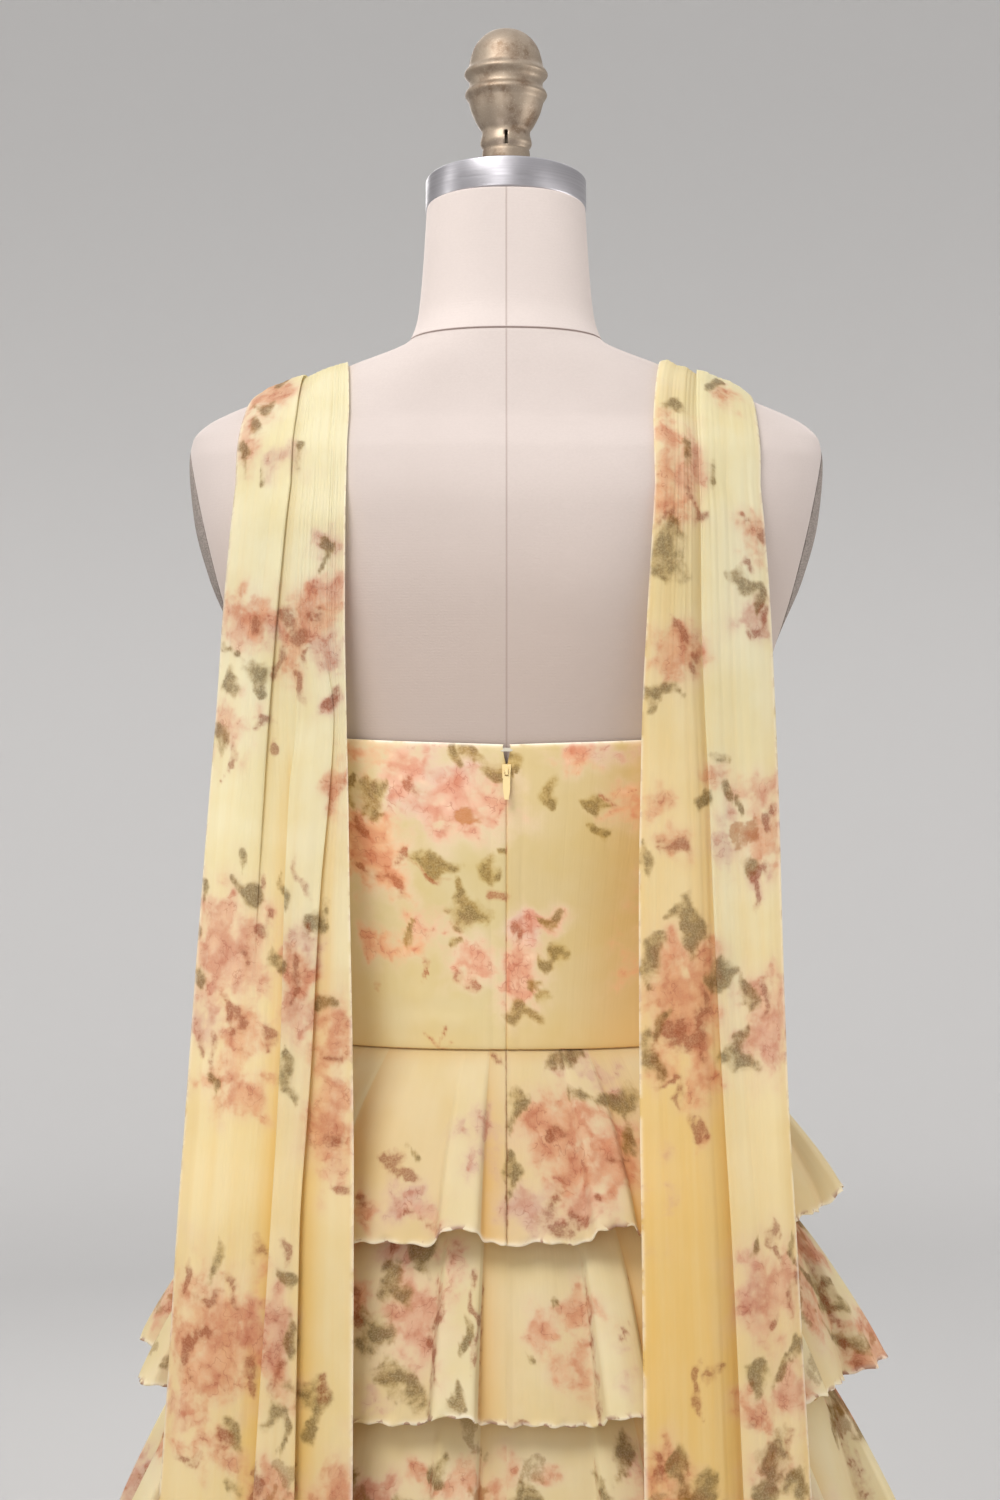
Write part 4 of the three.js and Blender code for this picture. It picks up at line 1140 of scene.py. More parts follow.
TIER_MARKS = {
    "tier_1": by_kind(
        rust=[
            (64, -62, 6, 8), (57, -66, 7, 3, 20), (4, -5, 6, 2, 30), (8, -2, 5, 1.6), (-35, -93, 15, 6),
            (-26, -82, 4, 12, 10), (-49, -78, 2.6, 5), (-30, -42, 5, 3), (-62, -58, 6, 3, 30),
            (46, -90, 9, 2), (80, -82, 5, 3, 20),
        ],
        olive=[
            (-5, -31, 6, 11), (-41, -26, 9, 4, -20), (-64, -29, 15, 7, 8), (-2, -67, 5, 12),
            (-33, -6, 9, 7), (52, -56, 4, 3), (-70, -50, 5, 12),
        ],
    ),
    "tier_2": by_kind(
        olive=[
            (62, -128, 7, 15, -30), (74, -152, 13, 11, 30), (60, -176, 14, 9, 20), (48, -188, 9, 9),
            (48, -108, 9, 12, -30), (23, -153, 3, 8), (28, -183, 5, 7), (-26, -134, 4, 4),
            (-14, -162, 3, 3),
        ],
        rust=[
            (39, -146, 2, 26, 3), (85, -140, 3, 10), (18, -140, 1.6, 26), (64, -112, 3, 3),
            (-10, -200, 12, 2), (-66, -150, 3, 4),
        ],
    ),
    "tier_3": by_kind(
        olive=[
            (38, -224, 6, 6), (60, -244, 8, 4), (-14, -241, 14, 6),
        ],
        rust=[
            (-78, -214, 4, 9),
        ],
    ),
}


def tier(name, top, hem, level, flute, lift, sway, salt, columns, rows):
    folds = fold_columns(salt)
    open_back = top == 0
    girth = 1000 + 60 * salt
    first, last = (HALF_SEAM / 6, 1 - HALF_SEAM / 6) if open_back else (0.0, 1.0)
    shares, length = even_shares(folds, flute, girth, columns, first, last)
    out = round_trip(folds, shares, 1)
    arch = round_trip(folds, shares, 2)
    if open_back:
        flat_back = 1 - np.exp(-((np.minimum(shares, 1 - shares) / 0.012) ** 4))
        out, arch = out * flat_back, arch * flat_back
    out = softened(out, 1, not open_back)
    arch = softened(arch, 6, not open_back)
    index = np.searchsorted(folds[:, 0], shares) % len(folds)
    rag = np.array([uneven(int(folds[i, 3]), salt + 5) for i in index])
    rag = softened(rag, 30, not open_back)
    along = np.linspace(0, 1, columns + 1) * length
    t = np.concatenate([np.linspace(0, 0.93, rows - 5), np.linspace(0.945, 1, 6)])[:, None]
    flare = column(FLARE, "at", "out", t)
    foot = [value + CHIFFON_WALL + SEAM_GAP for value in level_of(UNDERSKIRT, top)]
    edge = bell((1 - t) * (top - hem), 3.2)
    curl = 0.9 * np.sin(along / 1.9 + 2 * np.sin(along / 17)) + 0.8 * np.sin(along / 4.3 + 1.1 + salt)
    droop = 1.2 * np.sin(along / 23 + salt) + 0.8 * np.sin(along / 9.7 + 2 * salt)
    soft = 0.35 * np.sin(along / 11 + 0.02 * t * 100 + 2 * np.sin(along / 57)) * np.minimum(1, 3 * t)
    x, y, z = [], [], []
    for k, share_down in enumerate(t[:, 0]):
        side, front, back = [a + (b - a) * flare[k, 0] for a, b in zip(foot, level)]
        out_here = flute * share_down * out + soft[k] + edge[k, 0] * curl
        hem_here = hem + lift * np.minimum(arch, 1) + sway * rag + 0.6 * droop
        px, py = outline(side, front, back, shares, out_here)
        x.append(px)
        y.append(py)
        z.append(top - 0.1 + (hem_here - top + 0.1) * share_down + edge[k, 0] * 0.5 * np.roll(curl, 3))
    x, y, z = np.array(x), np.array(y), np.array(z)
    if not open_back:
        x[:, -1], y[:, -1], z[:, -1] = x[:, 0], y[:, 0], z[:, 0]
    signed = np.where(shares > 0.5, shares - 1, shares)
    across = np.broadcast_to(signed * girth, z.shape)
    right_end = -SHOWN if salt else -290
    patches = [(20 + salt, SHOWN, 480, hem, top, 52), (40 + salt, -480, right_end, hem, top, 52)]
    if salt >= 2:
        patches.append((60 + salt, -100, 100, hem, min(top, -250), 48))
    blooms, marks = list(TIER_BLOOMS.get(name, [])), list(TIER_MARKS.get(name, []))
    for patch in patches:
        more_blooms, more_marks = scattered(*patch)
        blooms += more_blooms
        marks += more_marks
    seen = paint(np.where(np.abs(x) < SHOWN, np.where(y > 0, x, across), across), z, blooms, marks)
    usual = np.maximum(softened(out, 160, not open_back), 0.35)
    deep = np.broadcast_to(1 - np.clip(out / usual, 0, 1), z.shape)
    # Painted shadow: gold under the edge above each tier, a cast shadow beside each fold strip and shade in
    # the recesses between folds.
    top_shadow = bell(t * (top - hem), 24) if top < 0 else bell(t * (top - hem), 6)
    ahead = np.min(np.mod(edge_shares(0.865)[:, None] - shares[None, :], 1), axis=0) * girth
    beside = np.min(np.abs(edge_shares(0.14)[:, None] - shares[None, :]), axis=0) * girth
    cast_shadow = 0.75 * np.exp(-ahead / 9) * (0.25 + 0.75 * np.minimum(1, 1.6 * t))
    recess_shade = 0.2 * deep * np.minimum(1, 2 * t)
    seen["painted_shade"] = np.clip(0.06 + 0.1 * open_back + recess_shade + 0.34 * top_shadow + cast_shadow, 0, 1)
    if not open_back:
        stitched = 0.8 * bell(np.minimum(ahead, girth - ahead), 1.3)
        stitched = stitched + 0.6 * bell(beside, 1.3)
        seen["mark"][..., 1] = np.maximum(seen["mark"][..., 1], stitched * np.minimum(1, 2 * t))
    else:
        slit = np.minimum(shares, 1 - shares) * girth
        seen["mark"][..., 1] = np.maximum(seen["mark"][..., 1], 0.62 * bell(slit, 1.2) + 0 * t)
    seen["rim"] = np.broadcast_to(bell((1 - t) * (top - hem), 2.0), z.shape)
    u = np.broadcast_to(along / 1000, z.shape)
    v = np.broadcast_to((top - hem) * t / 1000 + salt, z.shape)
    piece = cloth(name + "_cloth", x, y, WAIST + z, u, v, not open_back, seen)
    thicken(piece, 0.6)
    dress(piece, tier_chiffon, "chiffon", "dress_and_form", name)


UNDERSKIRT_HEM = -392


def underskirt():
    shares = np.linspace(0, 1, 121)
    heights = np.linspace(-SEAM_GAP, UNDERSKIRT_HEM, 25)
    grid = [outline(*level_of(UNDERSKIRT, height), shares) for height in heights]
    x, y = np.array(grid).transpose(1, 0, 2)
    x[:, -1], y[:, -1] = x[:, 0], y[:, 0]
    z = np.broadcast_to(heights[:, None], x.shape)
    across = np.broadcast_to(np.where(shares > 0.5, shares - 1, shares) * 1000, z.shape)
    fields = paint(across, z, *scattered(77, -500, 500, UNDERSKIRT_HEM, 0, 60))
    # Painted shade: the underskirt, in the shade of the tiers, gets an even gold shade.
    fields["painted_shade"] = np.full(z.shape, 0.55)
    fields["rim"] = bell(z - UNDERSKIRT_HEM, 3)
    piece = cloth("underskirt_cloth", x, y, WAIST + z, across / 1000, -z / 1000, True, fields)
    thicken(piece, 1.0)
    dress(piece, lined_chiffon, "lined_chiffon", "dress_and_form", "underskirt")
    print("underskirt area", round(area_of(piece), 4))


underskirt()
for salt, row in enumerate(TIERS):
    tier(*row, salt, TIER_COLUMNS, TIER_ROWS)

# %% [markdown]
# ## The straps and drapes
# Each drape is one long piece: gathered at the top of the bodice in front, laid over the shoulder
# and let fall down the back. Its folds lie flat on each other, so the cloth doubles back under
# each fold's edge. Rails say where a line along the cloth runs at each height: how far across,
# and how far out in front of the surface behind.

# %% Hanging surfaces
SHOULDER_PIVOT = 330
DRAPE_HEM = -486
CLEAR = CLEARANCE + CHIFFON_WALL / 2
STRAP_ROWS, OVER_ROWS, HANG_ROWS = 24, 58, 268
GAUGE_ROW = 90  # the row of the hang whose folds say how the points share the cloth's width


def form_depth(x, height, backwards):
    side, front, back = level_of(FORM, height)
    room = np.maximum(0, 1 - np.abs(x / side) ** SQUARENESS)
    depth = np.where(backwards, back, front) * room ** (1 / SQUARENESS)
    return np.where(backwards, depth, depth + bust_out(x, height) * np.minimum(1, depth / BUST["wide"]))


def cast_out(x, height, lean):
    """How far from the line through the shoulder a leaning ray leaves the form."""
    near, far = np.zeros_like(x), np.full_like(x, 200.0)
    for _ in range(30):
        middle = (near + far) / 2
        level = height + middle * np.cos(lean)
        inside = form_depth(x, level, np.sin(lean) > 0) > np.abs(middle * np.sin(lean))
        inside &= np.abs(x) < column(FORM, "height", "side", level)
        near, far = np.where(inside, middle, near), np.where(inside, far, middle)
    return near


def hang_depth(x, height):
    side, back = column(HANG, "height", "side", height), column(HANG, "height", "back", height)
    return back * (1 - np.abs(x / side) ** SQUARENESS) ** (1 / SQUARENESS)


STRAP_UP = table(
    "height inner outer depth",
    (222, 70, 116, 0.25), (262, 78, 127, 0.4), (300, 86, 136, 0.5), (330, 92, 142, 0.5),
)
STRAP_OVER = table(
    "lean inner outer depth",
    (-90, 92, 142, 0.5), (-40, 97, 145, 0.55), (0, 98, 145, 0.6), (40, 95, 146, 0.7), (82, 91, 148, 0.75),
)

# %% [markdown]
# The rails of each drape, from its inner edge outwards along the cloth. A rail's row gives the
# share across that it has at the shoulder, then its place across at nine heights, then how far
# out it stands at the same heights, or one number where that stays the same. Rails that run back
# towards the inner edge are the parts that are tucked under a fold.

# %% Rails
RAIL_HEIGHTS = np.array([350, 250, 190, 150, 90, 0, -100, -240, -486.0])
LEFT_RAILS = (
    (0.00, (91, 91, 90, 89, 88, 86, 84, 83, 80), 1),
    (0.08, (96, 97, 94, 94, 97, 98, 98, 97, 95), 2),
    (0.14, (100, 102, 98, 101, 108, 116, 122, 125, 130), (2.5, 2.5, 2, 1, 0.6, 0.5, 0.5, 0.5, 0.5)),
    (0.21, (104, 107, 97, 99, 104, 108, 113, 113, 114), (3, 3, 4, 5.5, 6.5, 7, 7.5, 8, 9)),
    (0.27, (108, 112, 107, 110, 114, 117, 121, 125, 128), (3, 3, 4, 6, 7.5, 8, 8.5, 9, 10)),
    (0.33, (112, 117, 118, 123, 126, 128, 132, 139, 146), (2.5, 2.5, 3, 6, 7.5, 8, 8.5, 9, 10)),
    (0.40, (116, 121, 121, 119, 117, 117, 118, 122, 128), (2, 1.5, 1.5, 1, 1, 0.8, 0.8, 0.8, 0.8)),
    (0.49, (122, 130, 132, 131, 132, 135, 140, 147, 156), (1, 0.8, 0.8, 0.8, 1.5, 2.5, 3, 3, 3)),
    (0.60, (130, 142, 146, 144, 143, 143, 148, 155, 166), (0.8, 0.6, 0.8, 1.2, 2, 3.5, 4, 4, 4)),
    (0.45, (118, 127, 132, 135, 139, 147, 152, 159, 171), (4.5, 5, 5, 4.5, 3.5, 4, 4.5, 4.5, 4.5)),
    (0.59, (128, 138, 142, 145, 150, 156, 161, 168, 182), (6, 6.5, 6.5, 6, 5.5, 5, 5, 5, 5)),
    (0.75, (138, 147, 151, 155, 160, 166, 171, 178, 191), (5.5, 5.5, 5.5, 5.5, 5, 5, 5, 5, 5)),
    (0.87, (146, 156, 160, 164, 168, 173, 179, 185, 198), (6.5, 6.5, 6.5, 6.5, 6, 6, 6, 6, 6)),
    (1.00, (154, 164, 168, 171, 175, 181, 187, 193, 206), 3),
)
RIGHT_RAILS = (
    (0.00, (86, 79, 76, 75, 74, 74, 74, 74, 72), 1),
    (0.07, (90, 84, 81, 81, 80, 81, 82, 83, 84), (4.5, 4.5, 4.5, 4.5, 4.5, 4, 4, 4, 4)),
    (0.18, (97, 92, 90, 90, 90, 91, 93, 95, 98), (2.5, 2.5, 3, 3.5, 4, 4, 4, 4, 4)),
    (0.28, (102, 98, 97, 98, 99, 102, 105, 108, 112), (4.5, 5, 5, 5, 5, 5, 5, 5, 5)),
    (0.38, (106, 106, 108, 110, 112, 115, 119, 123, 130), (2, 1.5, 1.5, 1.5, 1.5, 1.5, 1.5, 1.5, 1.5)),
    (0.52, (118, 121, 124, 126, 128, 131, 135, 140, 148), 0.6),
    (0.40, (109, 109, 111, 113, 115, 119, 123, 127, 134), (5.5, 6, 6, 6.5, 6.5, 6.5, 6.5, 6.5, 6.5)),
    (0.50, (114, 116, 118, 120, 123, 128, 133, 138, 146), (7, 8, 8, 8, 8, 8, 8, 8, 8)),
    (0.64, (123, 126, 128, 130, 133, 138, 143, 148, 156), (6, 6.5, 6.5, 6.5, 6.5, 6.5, 6.5, 6.5, 6.5)),
    (0.78, (132, 137, 139, 141, 143, 147, 151, 156, 164), (7, 7, 7, 7, 6.5, 6, 6, 6, 6)),
    (0.90, (139, 145, 147, 148, 150, 153, 157, 162, 170), 5.5),
    (1.00, (145, 152, 154, 155, 156, 159, 163, 167, 176), 2),
)

LEFT_BLOOMS = by_kind(
    coral=[
        (142, 384, 16, 22, 0.9), (152, 260, 11, 8, 0.7), (142, 250, 14, 15, 0.9), (109, 248, 17, 16, 0.9),
        (120, 228, 9, 24, 0.85), (96, 150, 7, 20, 0.7), (150, 14, 16, 18, 0.85), (152, -20, 24, 18, 0.8),
        (118, 47, 12, 15, 0.85), (98, 8, 14, 28, 0.85), (97, -32, 16, 26, 0.9), (167, -156, 27, 40, 0.95),
        (148, -145, 19, 36, 0.8), (121, -174, 11, 14, 0.85), (160, -212, 26, 16, 0.6),
    ],
    pink=[
        (150, 352, 10, 20, 0.8), (151, 246, 22, 20, 0.85), (98, 262, 14, 13, 0.9),
        (158, 186, 16, 24, 0.65), (160, 58, 30, 36, 0.95), (118, 28, 12, 22, 0.8), (97, -66, 10, 14, 0.6),
        (126, -147, 9, 30, 0.9), (182, -196, 22, 20, 0.6),
    ],
    mauve=[
        (127, 336, 20, 9, 0.85), (133, 238, 12, 10, 0.7), (100, 288, 12, 13, 0.6),
        (101, 229, 15, 18, 0.7), (100, 198, 9, 10, 0.7), (174, 20, 15, 19, 0.85), (113, 65, 13, 13, 0.75),
        (139, -140, 9, 20, 0.7),
    ],
)
LEFT_MARKS = by_kind(
    olive=[
        (136, 391, 6, 5), (141, 374, 6, 5), (147, 360, 5, 6), (151, 346, 5, 5), (149, 334, 5, 8),
        (140, 330, 4, 6), (119, 345, 5, 4), (156, 227, 9, 2.6, 10), (141, 215, 9, 10), (159, 209, 6, 9),
        (103, 284, 3, 9, 12), (163, 178, 5, 10), (174, 94, 2.6, 9), (175, 66, 4, 7), (177, 44, 4, 8),
        (148, 107, 3, 5), (147, 92, 12, 6, 30), (166, -20, 2.6, 7), (130, 52, 5, 11), (125, 90, 2.8, 9),
        (107, 77, 9, 8), (122, -12, 5, 14, -12), (100, 29, 8, 4), (161, -116, 4, 12), (148, -203, 6, 9),
        (149, -229, 6, 6), (122, -117, 7, 5), (119, -150, 4, 9), (127, -190, 9, 6, -30),
        (119, -200, 2.6, 10), (109, -178, 12, 9, 20), (103, -192, 5, 12, 15),
    ],
    rust=[
        (118, 338, 3, 3), (142, 246, 4, 7, -10), (123, 247, 5, 7), (120, 237, 5, 5), (112, 227, 2.4, 8),
        (129, 218, 3, 7), (108, 250, 5, 5), (99, 200, 5, 6), (136, 188, 4, 3, 20), (117, 206, 2, 8),
        (159, 164, 2.2, 11, 15), (129, 172, 3, 4), (150, 54, 2.6, 5), (158, 19, 2.6, 10), (152, 18, 4, 9),
        (175, 5, 2.6, 9), (168, 4, 2.6, 8), (165, -8, 2, 8, -10), (137, 98, 2.4, 6), (137, 73, 4, 5),
        (135, 12, 5, 7), (115, 100, 2.6, 9, -30), (109, 70, 3, 5), (119, 40, 2.4, 16),
        (97, 0, 8, 2.4, 25), (95, -47, 8, 5), (92, -72, 6, 3), (138, -103, 5, 8), (178, -121, 2, 12),
        (167, -132, 9, 3), (152, -127, 3, 10), (168, -152, 9, 4, 30), (177, -160, 4, 12),
        (140, -169, 5, 9), (154, -206, 8, 4), (176, -218, 7, 3), (124, -170, 3, 12, 20),
        (137, -227, 3, 14), (101, -176, 4, 6), (122, -106, 3, 5),
    ],
)
RIGHT_BLOOMS = by_kind(
    coral=[
        (93, 345, 10, 30, 0.8), (91, 311, 13, 18, 0.9), (128, 378, 12, 9, 0.6), (141, 295, 13, 16, 0.7),
        (92, 226, 18, 20, 0.85), (119, 158, 11, 12, 0.6), (146, 121, 14, 20, 0.85),
        (84, 141, 14, 10, 0.6), (95, 119, 13, 11, 0.7), (95, 30, 21, 34, 1), (110, 40, 11, 30, 1),
        (108, -2, 13, 26, 0.9), (88, -6, 12, 14, 0.7), (106, -40, 8, 10, 0.5), (136, -186, 14, 14, 0.7),
        (83, -216, 12, 16, 0.8),
    ],
    pink=[
        (104, 328, 9, 34, 0.9), (104, 238, 12, 10, 0.6), (144, 147, 22, 14, 0.8), (90, 56, 14, 14, 0.6),
        (148, 20, 22, 30, 0.9), (144, -128, 23, 27, 0.9), (157, -182, 14, 16, 0.95),
        (150, -214, 20, 20, 0.7),
    ],
    mauve=[
        (140, 249, 16, 14, 0.75), (122, 120, 10, 26, 0.5), (140, 100, 10, 12, 0.6), (154, 8, 16, 20, 0.7),
        (134, -120, 10, 20, 0.6), (84, -76, 14, 34, 0.3),
    ],
)
RIGHT_MARKS = by_kind(
    olive=[
        (96, 372, 8, 4), (123, 386, 7, 5), (101, 345, 2.6, 6), (118, 330, 3.4, 10, -8), (90, 283, 12, 20),
        (136, 268, 11, 6, -20), (143, 260, 4, 9), (89, 205, 14, 4), (84, 198, 5, 4),
        (121, 166, 9, 2.6, -20), (126, 146, 3, 7), (130, 138, 2.8, 5), (136, 108, 4, 7), (109, 146, 4, 8),
        (78, 114, 3, 12), (104, 74, 7, 17), (95, 78, 6, 5), (80, 56, 8, 14), (123, 44, 11, 8),
        (80, 3, 6, 16, 20), (86, 18, 4, 10, -20), (133, 11, 4, 9, -15), (130, -2, 12, 7),
        (136, 34, 5, 10), (138, -103, 2.6, 8, -14), (136, -170, 8, 9), (151, -168, 4, 9, -10),
        (158, -160, 5, 7), (146, -211, 11, 14), (141, -232, 7, 10), (154, -230, 11, 9),
        (102, -230, 15, 8), (160, -110, 2, 9),
    ],
    rust=[
        (109, 305, 5, 3), (90, 303, 10, 3, 20), (106, 314, 2.4, 14), (138, 305, 7, 2, -10),
        (146, 296, 4, 5), (139, 278, 6, 1.8), (142, 240, 4, 4), (148, 252, 3.6, 8), (98, 238, 4, 8, 20),
        (104, 222, 3, 6), (140, 104, 6, 6), (143, 92, 2, 7), (150, 136, 3, 10), (94, 118, 8, 4, 30),
        (97, 12, 11, 10), (109, 20, 4, 20), (92, -13, 10, 2.4, 5), (97, -22, 3, 5), (146, 34, 3, 9),
        (157, -6, 2.6, 4), (103, -36, 4, 7), (109, -38, 3, 6), (148, -96, 4, 4), (151, -106, 2.4, 8, -10),
        (149, -145, 5, 3, 20), (134, -192, 5, 2.4, 30), (155, -207, 3.6, 3.6), (104, -176, 2.2, 13, 8),
        (112, -164, 5, 5), (83, -212, 4, 9), (158, -130, 2.4, 12),
    ],
    heart=[
        (138, 126, 6, 8), (131, 124, 4, 7),
    ],
)

# %% [markdown]
# The rows of points run up the strap, over the shoulder and down the back. Between its rails the
# cloth is rounded by smoothing, which turns each doubled edge into a soft bend. The painted shade field is
# measured: it is how far the cloth lies behind the folds beside it, and gold shade is painted there.

# %% Drapes
def rail_grid(rails, heights, kind):
    """The rails' places, or their depths, at each height: [row, rail]."""
    data = np.array([np.broadcast_to(rail[kind], len(RAIL_HEIGHTS)) for rail in rails], float)
    rows = {"height": RAIL_HEIGHTS, **{f"r{k}": values for k, values in enumerate(data)}}
    return np.stack([column(rows, "height", f"r{k}", heights) for k in range(len(rails))], axis=1)


def recess(x, out, reach=15.0):
    """How far each point lies behind the cloth within reach on either side."""
    deepest = np.zeros_like(out)
    count = x.shape[1]
    for offset in range(1, 34):
        for k in (offset, -offset):
            other = np.clip(np.arange(count) + k, 0, count - 1)
            gap = np.abs(x[:, other] - x)
            step = (out[:, other] - out) * np.clip(1 - gap / reach, 0, 1)
            deepest = np.maximum(deepest, step)
    return deepest


def drape(name, hand, rails, blooms, marks, columns, seed):
    shoulder = np.array([rail[0] for rail in rails])
    hang_heights = np.linspace(324, DRAPE_HEM, HANG_ROWS)
    leans = np.radians(np.linspace(-90, 82, OVER_ROWS))
    strap_heights = np.linspace(BODICE_TOP + SEAM_GAP, 326, STRAP_ROWS)
    rail_x = rail_grid(rails, hang_heights, 1)
    rail_out = rail_grid(rails, hang_heights, 2)
    lengths = np.hypot(np.diff(rail_x[GAUGE_ROW]), np.diff(rail_out[GAUGE_ROW]))
    at = np.concatenate([[0], np.cumsum(lengths)])
    at /= at[-1]
    u = np.linspace(0, 1, columns + 1)

    def spread(values):
        return np.stack([np.interp(u, at, row) for row in values])

    ripples = np.random.default_rng(seed)
    waves = [(ripples.uniform(9, 34), ripples.uniform(0, 6.3), ripples.uniform(-2, 2)) for _ in range(9)]

    def crinkle(v):
        """Fine ripples across the cloth that drift slowly along it."""
        total = sum(
            np.sin(u[None, :] * many * 6.28 + phase + drift * v[:, None]) for many, phase, drift in waves
        )
        return total / len(waves)

    shoulder_out = rail_out[0]
    top_x = softened(np.interp(u, at, rail_x[0]), 4)
    top_out = softened(np.interp(u, at, rail_out[0]), 3) * 0.5
    up_x, up_y, up_z = [], [], []
    for kind, places in (("up", strap_heights), ("over", leans)):
        for place in places:
            if kind == "up":
                rows, key, value = STRAP_UP, "height", place
            else:
                rows, key, value = STRAP_OVER, "lean", math.degrees(place)
            inner, outer, scale = (column(rows, key, name_, value) for name_ in ("inner", "outer", "depth"))
            x = softened(np.interp(u, at, inner + (outer - inner) * shoulder), 3)
            out = softened(np.interp(u, at, shoulder_out), 2) * scale
            met = np.clip((value + 20) / 106, 0, 1) if kind == "over" else 0
            met = met * met * (3 - 2 * met)
            x = x * (1 - met) + top_x * met
            out = out * (1 - met) + top_out * met + 0.5 * crinkle(np.array([value / 30]))[0]
            height, lean = (place, math.radians(-90)) if kind == "up" else (SHOULDER_PIVOT, place)
            distance = cast_out(x, np.full_like(x, height), lean) + CLEAR + out
            up_x.append(x)
            up_y.append(distance * math.sin(lean))
            up_z.append(height + distance * math.cos(lean))
    x = softened(spread(rail_x), 5)
    out = softened(spread(rail_out), 6)
    fallen = (SHOULDER_PIVOT - hang_heights) / (SHOULDER_PIVOT - DRAPE_HEM)
    scale = np.minimum(1.1, 0.5 + 0.95 * fallen)[:, None]
    out = out * scale + (0.38 + 0.5 * np.exp(-fallen * 7))[:, None] * crinkle(fallen * 6)
    sway = 0.8 * np.sin(fallen * 13 + seed)[:, None] * (u[None, :] > 0.9) * (u[None, :] - 0.9) * 10
    y = hang_depth(x, hang_heights[:, None]) + CLEAR + out
    z = np.broadcast_to(hang_heights[:, None], x.shape)
    hollow = recess(x, out)
    # Painted shade: gold in each recess behind a fold and on the right drape's inner part, which lies in
    # shade; the field also grows towards the hem.
    painted_shade = 0.28 * np.clip(hollow / 2.5, 0, 1) + 0.5 * np.clip((hollow - 2) / 6, 0, 1)
    painted_shade = softened(painted_shade, 3) + 0.42 / (1 + np.exp((hang_heights[:, None] - 20) / 50))
    if hand < 0:
        painted_shade += 0.34 / (1 + np.exp((u[None, :] - 0.36) / 0.03))
    x = np.concatenate([np.array(up_x), x + sway])
    y = np.concatenate([np.array(up_y), y])
    z = np.concatenate([np.array(up_z), z])
    painted_shade = np.concatenate([np.repeat(painted_shade[:1] * 0.6, len(up_x), axis=0), painted_shade])
    step = np.hypot(np.diff(y[:, columns // 2]), np.diff(z[:, columns // 2]))
    down = np.concatenate([[0], np.cumsum(step)])
    wide = np.abs(np.diff(x[-1])).sum()
    more_blooms, more_marks = scattered(seed, 60, 210, DRAPE_HEM, -250, 44)
    fields = paint(x, z, blooms + more_blooms, marks + more_marks)
    fields["painted_shade"] = np.clip(painted_shade, 0, 1)
    from_edge = np.minimum(u, 1 - u)[None, :] * wide
    from_hem = (down[-1] - down)[:, None]
    fields["rim"] = bell(np.minimum(from_edge, from_hem), 1.4)
    flat_u = np.broadcast_to(u * wide / 1000 + seed, x.shape)
    flat_v = np.broadcast_to(down[:, None] / 1000, x.shape)
    piece = cloth(name + "_cloth", hand * x, y, WAIST + z, flat_u, flat_v, False, fields)
    thicken(piece, 0.5)
    dress(piece, chiffon, "chiffon", "dress_and_form", name)


drape("drape_left", 1, LEFT_RAILS, LEFT_BLOOMS, LEFT_MARKS, 128, 3)
drape("drape_right", -1, RIGHT_RAILS, RIGHT_BLOOMS, RIGHT_MARKS, 116, 4)

# %% [markdown]
# ## The zip's slider and pull, and the hook
# These small hard parts keep their solids. They get enamel and plated finishes.

# %% Small parts
for name, material in (("zip_slider", zip_enamel), ("zip_pull", zip_enamel), ("hook_and_eye", hook_wire)):
    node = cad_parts[name]
    node.data.materials.clear()
    node.data.materials.append(material)

# %% [markdown]
# ## The studio
# The form stands in a round paper cove, so the floor runs up into the wall with no line, from any
# side. A large soft key lamp hangs high above the camera, towards the wearer's left, and a weaker
# strip lamp stands further back. A narrow edge lamp on the left and a low side lamp on the right
# light the outlines. A low lamp lifts the tiers, a weak one fills the right, and the last one
# lights the front.

# %% Cove, lamps and sky
def cove():
    profile = [(0, 0)] + [(radius, 0) for radius in (1.0, 2.0, 3.0, 4.0, 4.6)]
    for k in range(1, 17):
        angle = math.radians(90 * k / 16)
        profile.append((4.6 + 2.4 * math.sin(angle), 2.4 * (1 - math.cos(angle))))
    profile += [(7.0, 3.4), (7.0, 4.6), (7.0, 6.0)]
    bm = spun([(radius, height - 0.0005) for radius, height in profile], 96, 1e-5)
    bmesh.ops.reverse_faces(bm, faces=bm.faces)
    return finish_piece("cove", mesh_from(bm, "cove"))


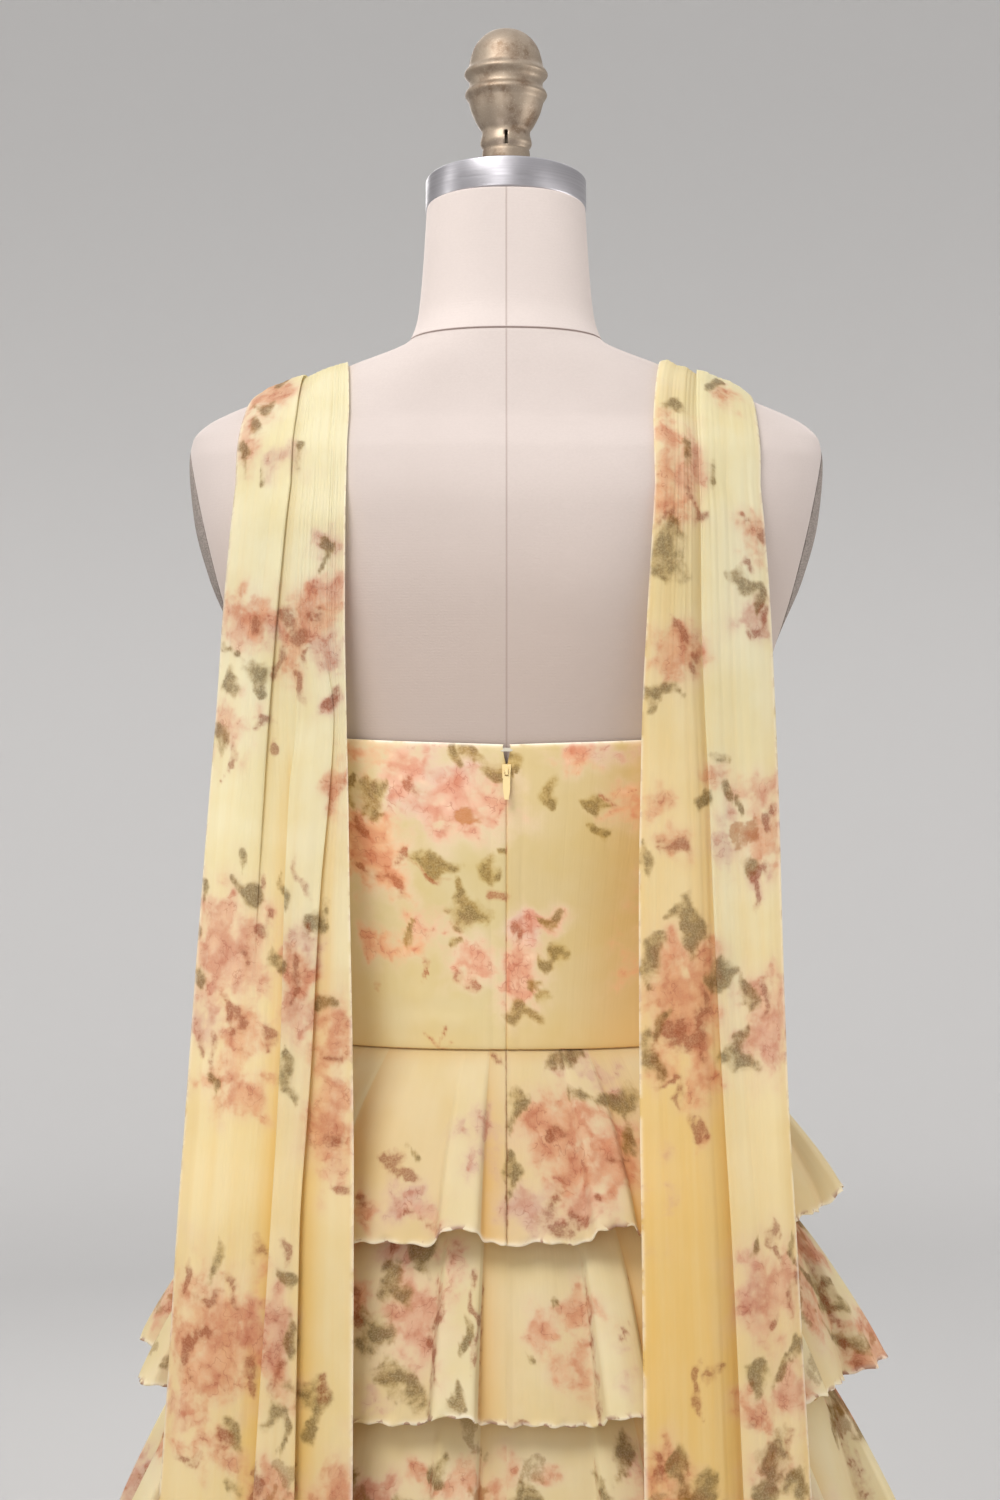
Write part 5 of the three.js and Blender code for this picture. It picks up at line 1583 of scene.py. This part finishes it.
paper = Finish("studio paper", roughness=0.95)
parts = paper.add("ShaderNodeSeparateXYZ")
paper.plug(parts.inputs[0], paper.add("ShaderNodeTexCoord").outputs["Object"])
radius = paper.math("SQRT", paper.math("ADD", paper.math("POWER", parts.outputs[0], 2.0),
                                       paper.math("POWER", parts.outputs[1], 2.0)))
# Painted shade: the paper is painted darker near the form, where the lamps' light pools on the floor, and
# darker high up the wall.
ground = paper.mix(paper.step(radius, 1.6, 5.4), srgb(181, 180, 179), srgb(222, 221, 220))
paper.colour(paper.mix(paper.step(parts.outputs[2], 1.2, 4.2), ground, srgb(200, 199, 198)))
floor = cove()
floor.data.materials.append(paper.material)


def lamp(name, place, target, size, power, colour, tall=None):
    light = bpy.data.lights.new(name, "AREA")
    light.shape = "RECTANGLE" if tall else "DISK"
    light.size = size
    if tall:
        light.size_y = tall
    light.energy = power
    light.color = colour
    item = bpy.data.objects.new(name, light)
    item.location = place
    item.rotation_euler = (Vector(target) - Vector(place)).to_track_quat("-Z", "Y").to_euler()
    bpy.context.scene.collection.objects.link(item)


lamp("key", (0.9, 1.49, 3.19), (0, 0, 1.15), 1.2, 50, (1.0, 0.98, 0.955))
lamp("strip", (0.5, 3.3, 2.3), (0, 0, 1.45), 1.3, 14, (1.0, 0.98, 0.97), 1.3)
lamp("edge", (2.7, 0.1, 1.9), (0, 0, 1.5), 0.25, 9, (1.0, 0.985, 0.96), 2.2)
lamp("low", (0.9, 3.0, 0.6), (0, 0, 0.8), 1.2, 17, (1.0, 0.98, 0.96))
lamp("side", (-2.7, 0.3, 0.6), (0, 0, 0.8), 1.2, 27, (1.0, 0.98, 0.96))
lamp("fill", (-2.4, 1.6, 1.6), (0, 0, 1.1), 1.6, 4.5, (1.0, 0.98, 0.96))
lamp("front", (0.4, -2.8, 2.4), (0, 0, 1.1), 2.0, 34, (1.0, 0.98, 0.965))
world = bpy.data.worlds.new("studio")
world.use_nodes = True
world.node_tree.nodes["Background"].inputs["Color"].default_value = srgb(236, 235, 235)
world.node_tree.nodes["Background"].inputs["Strength"].default_value = 1.15
bpy.context.scene.world = world
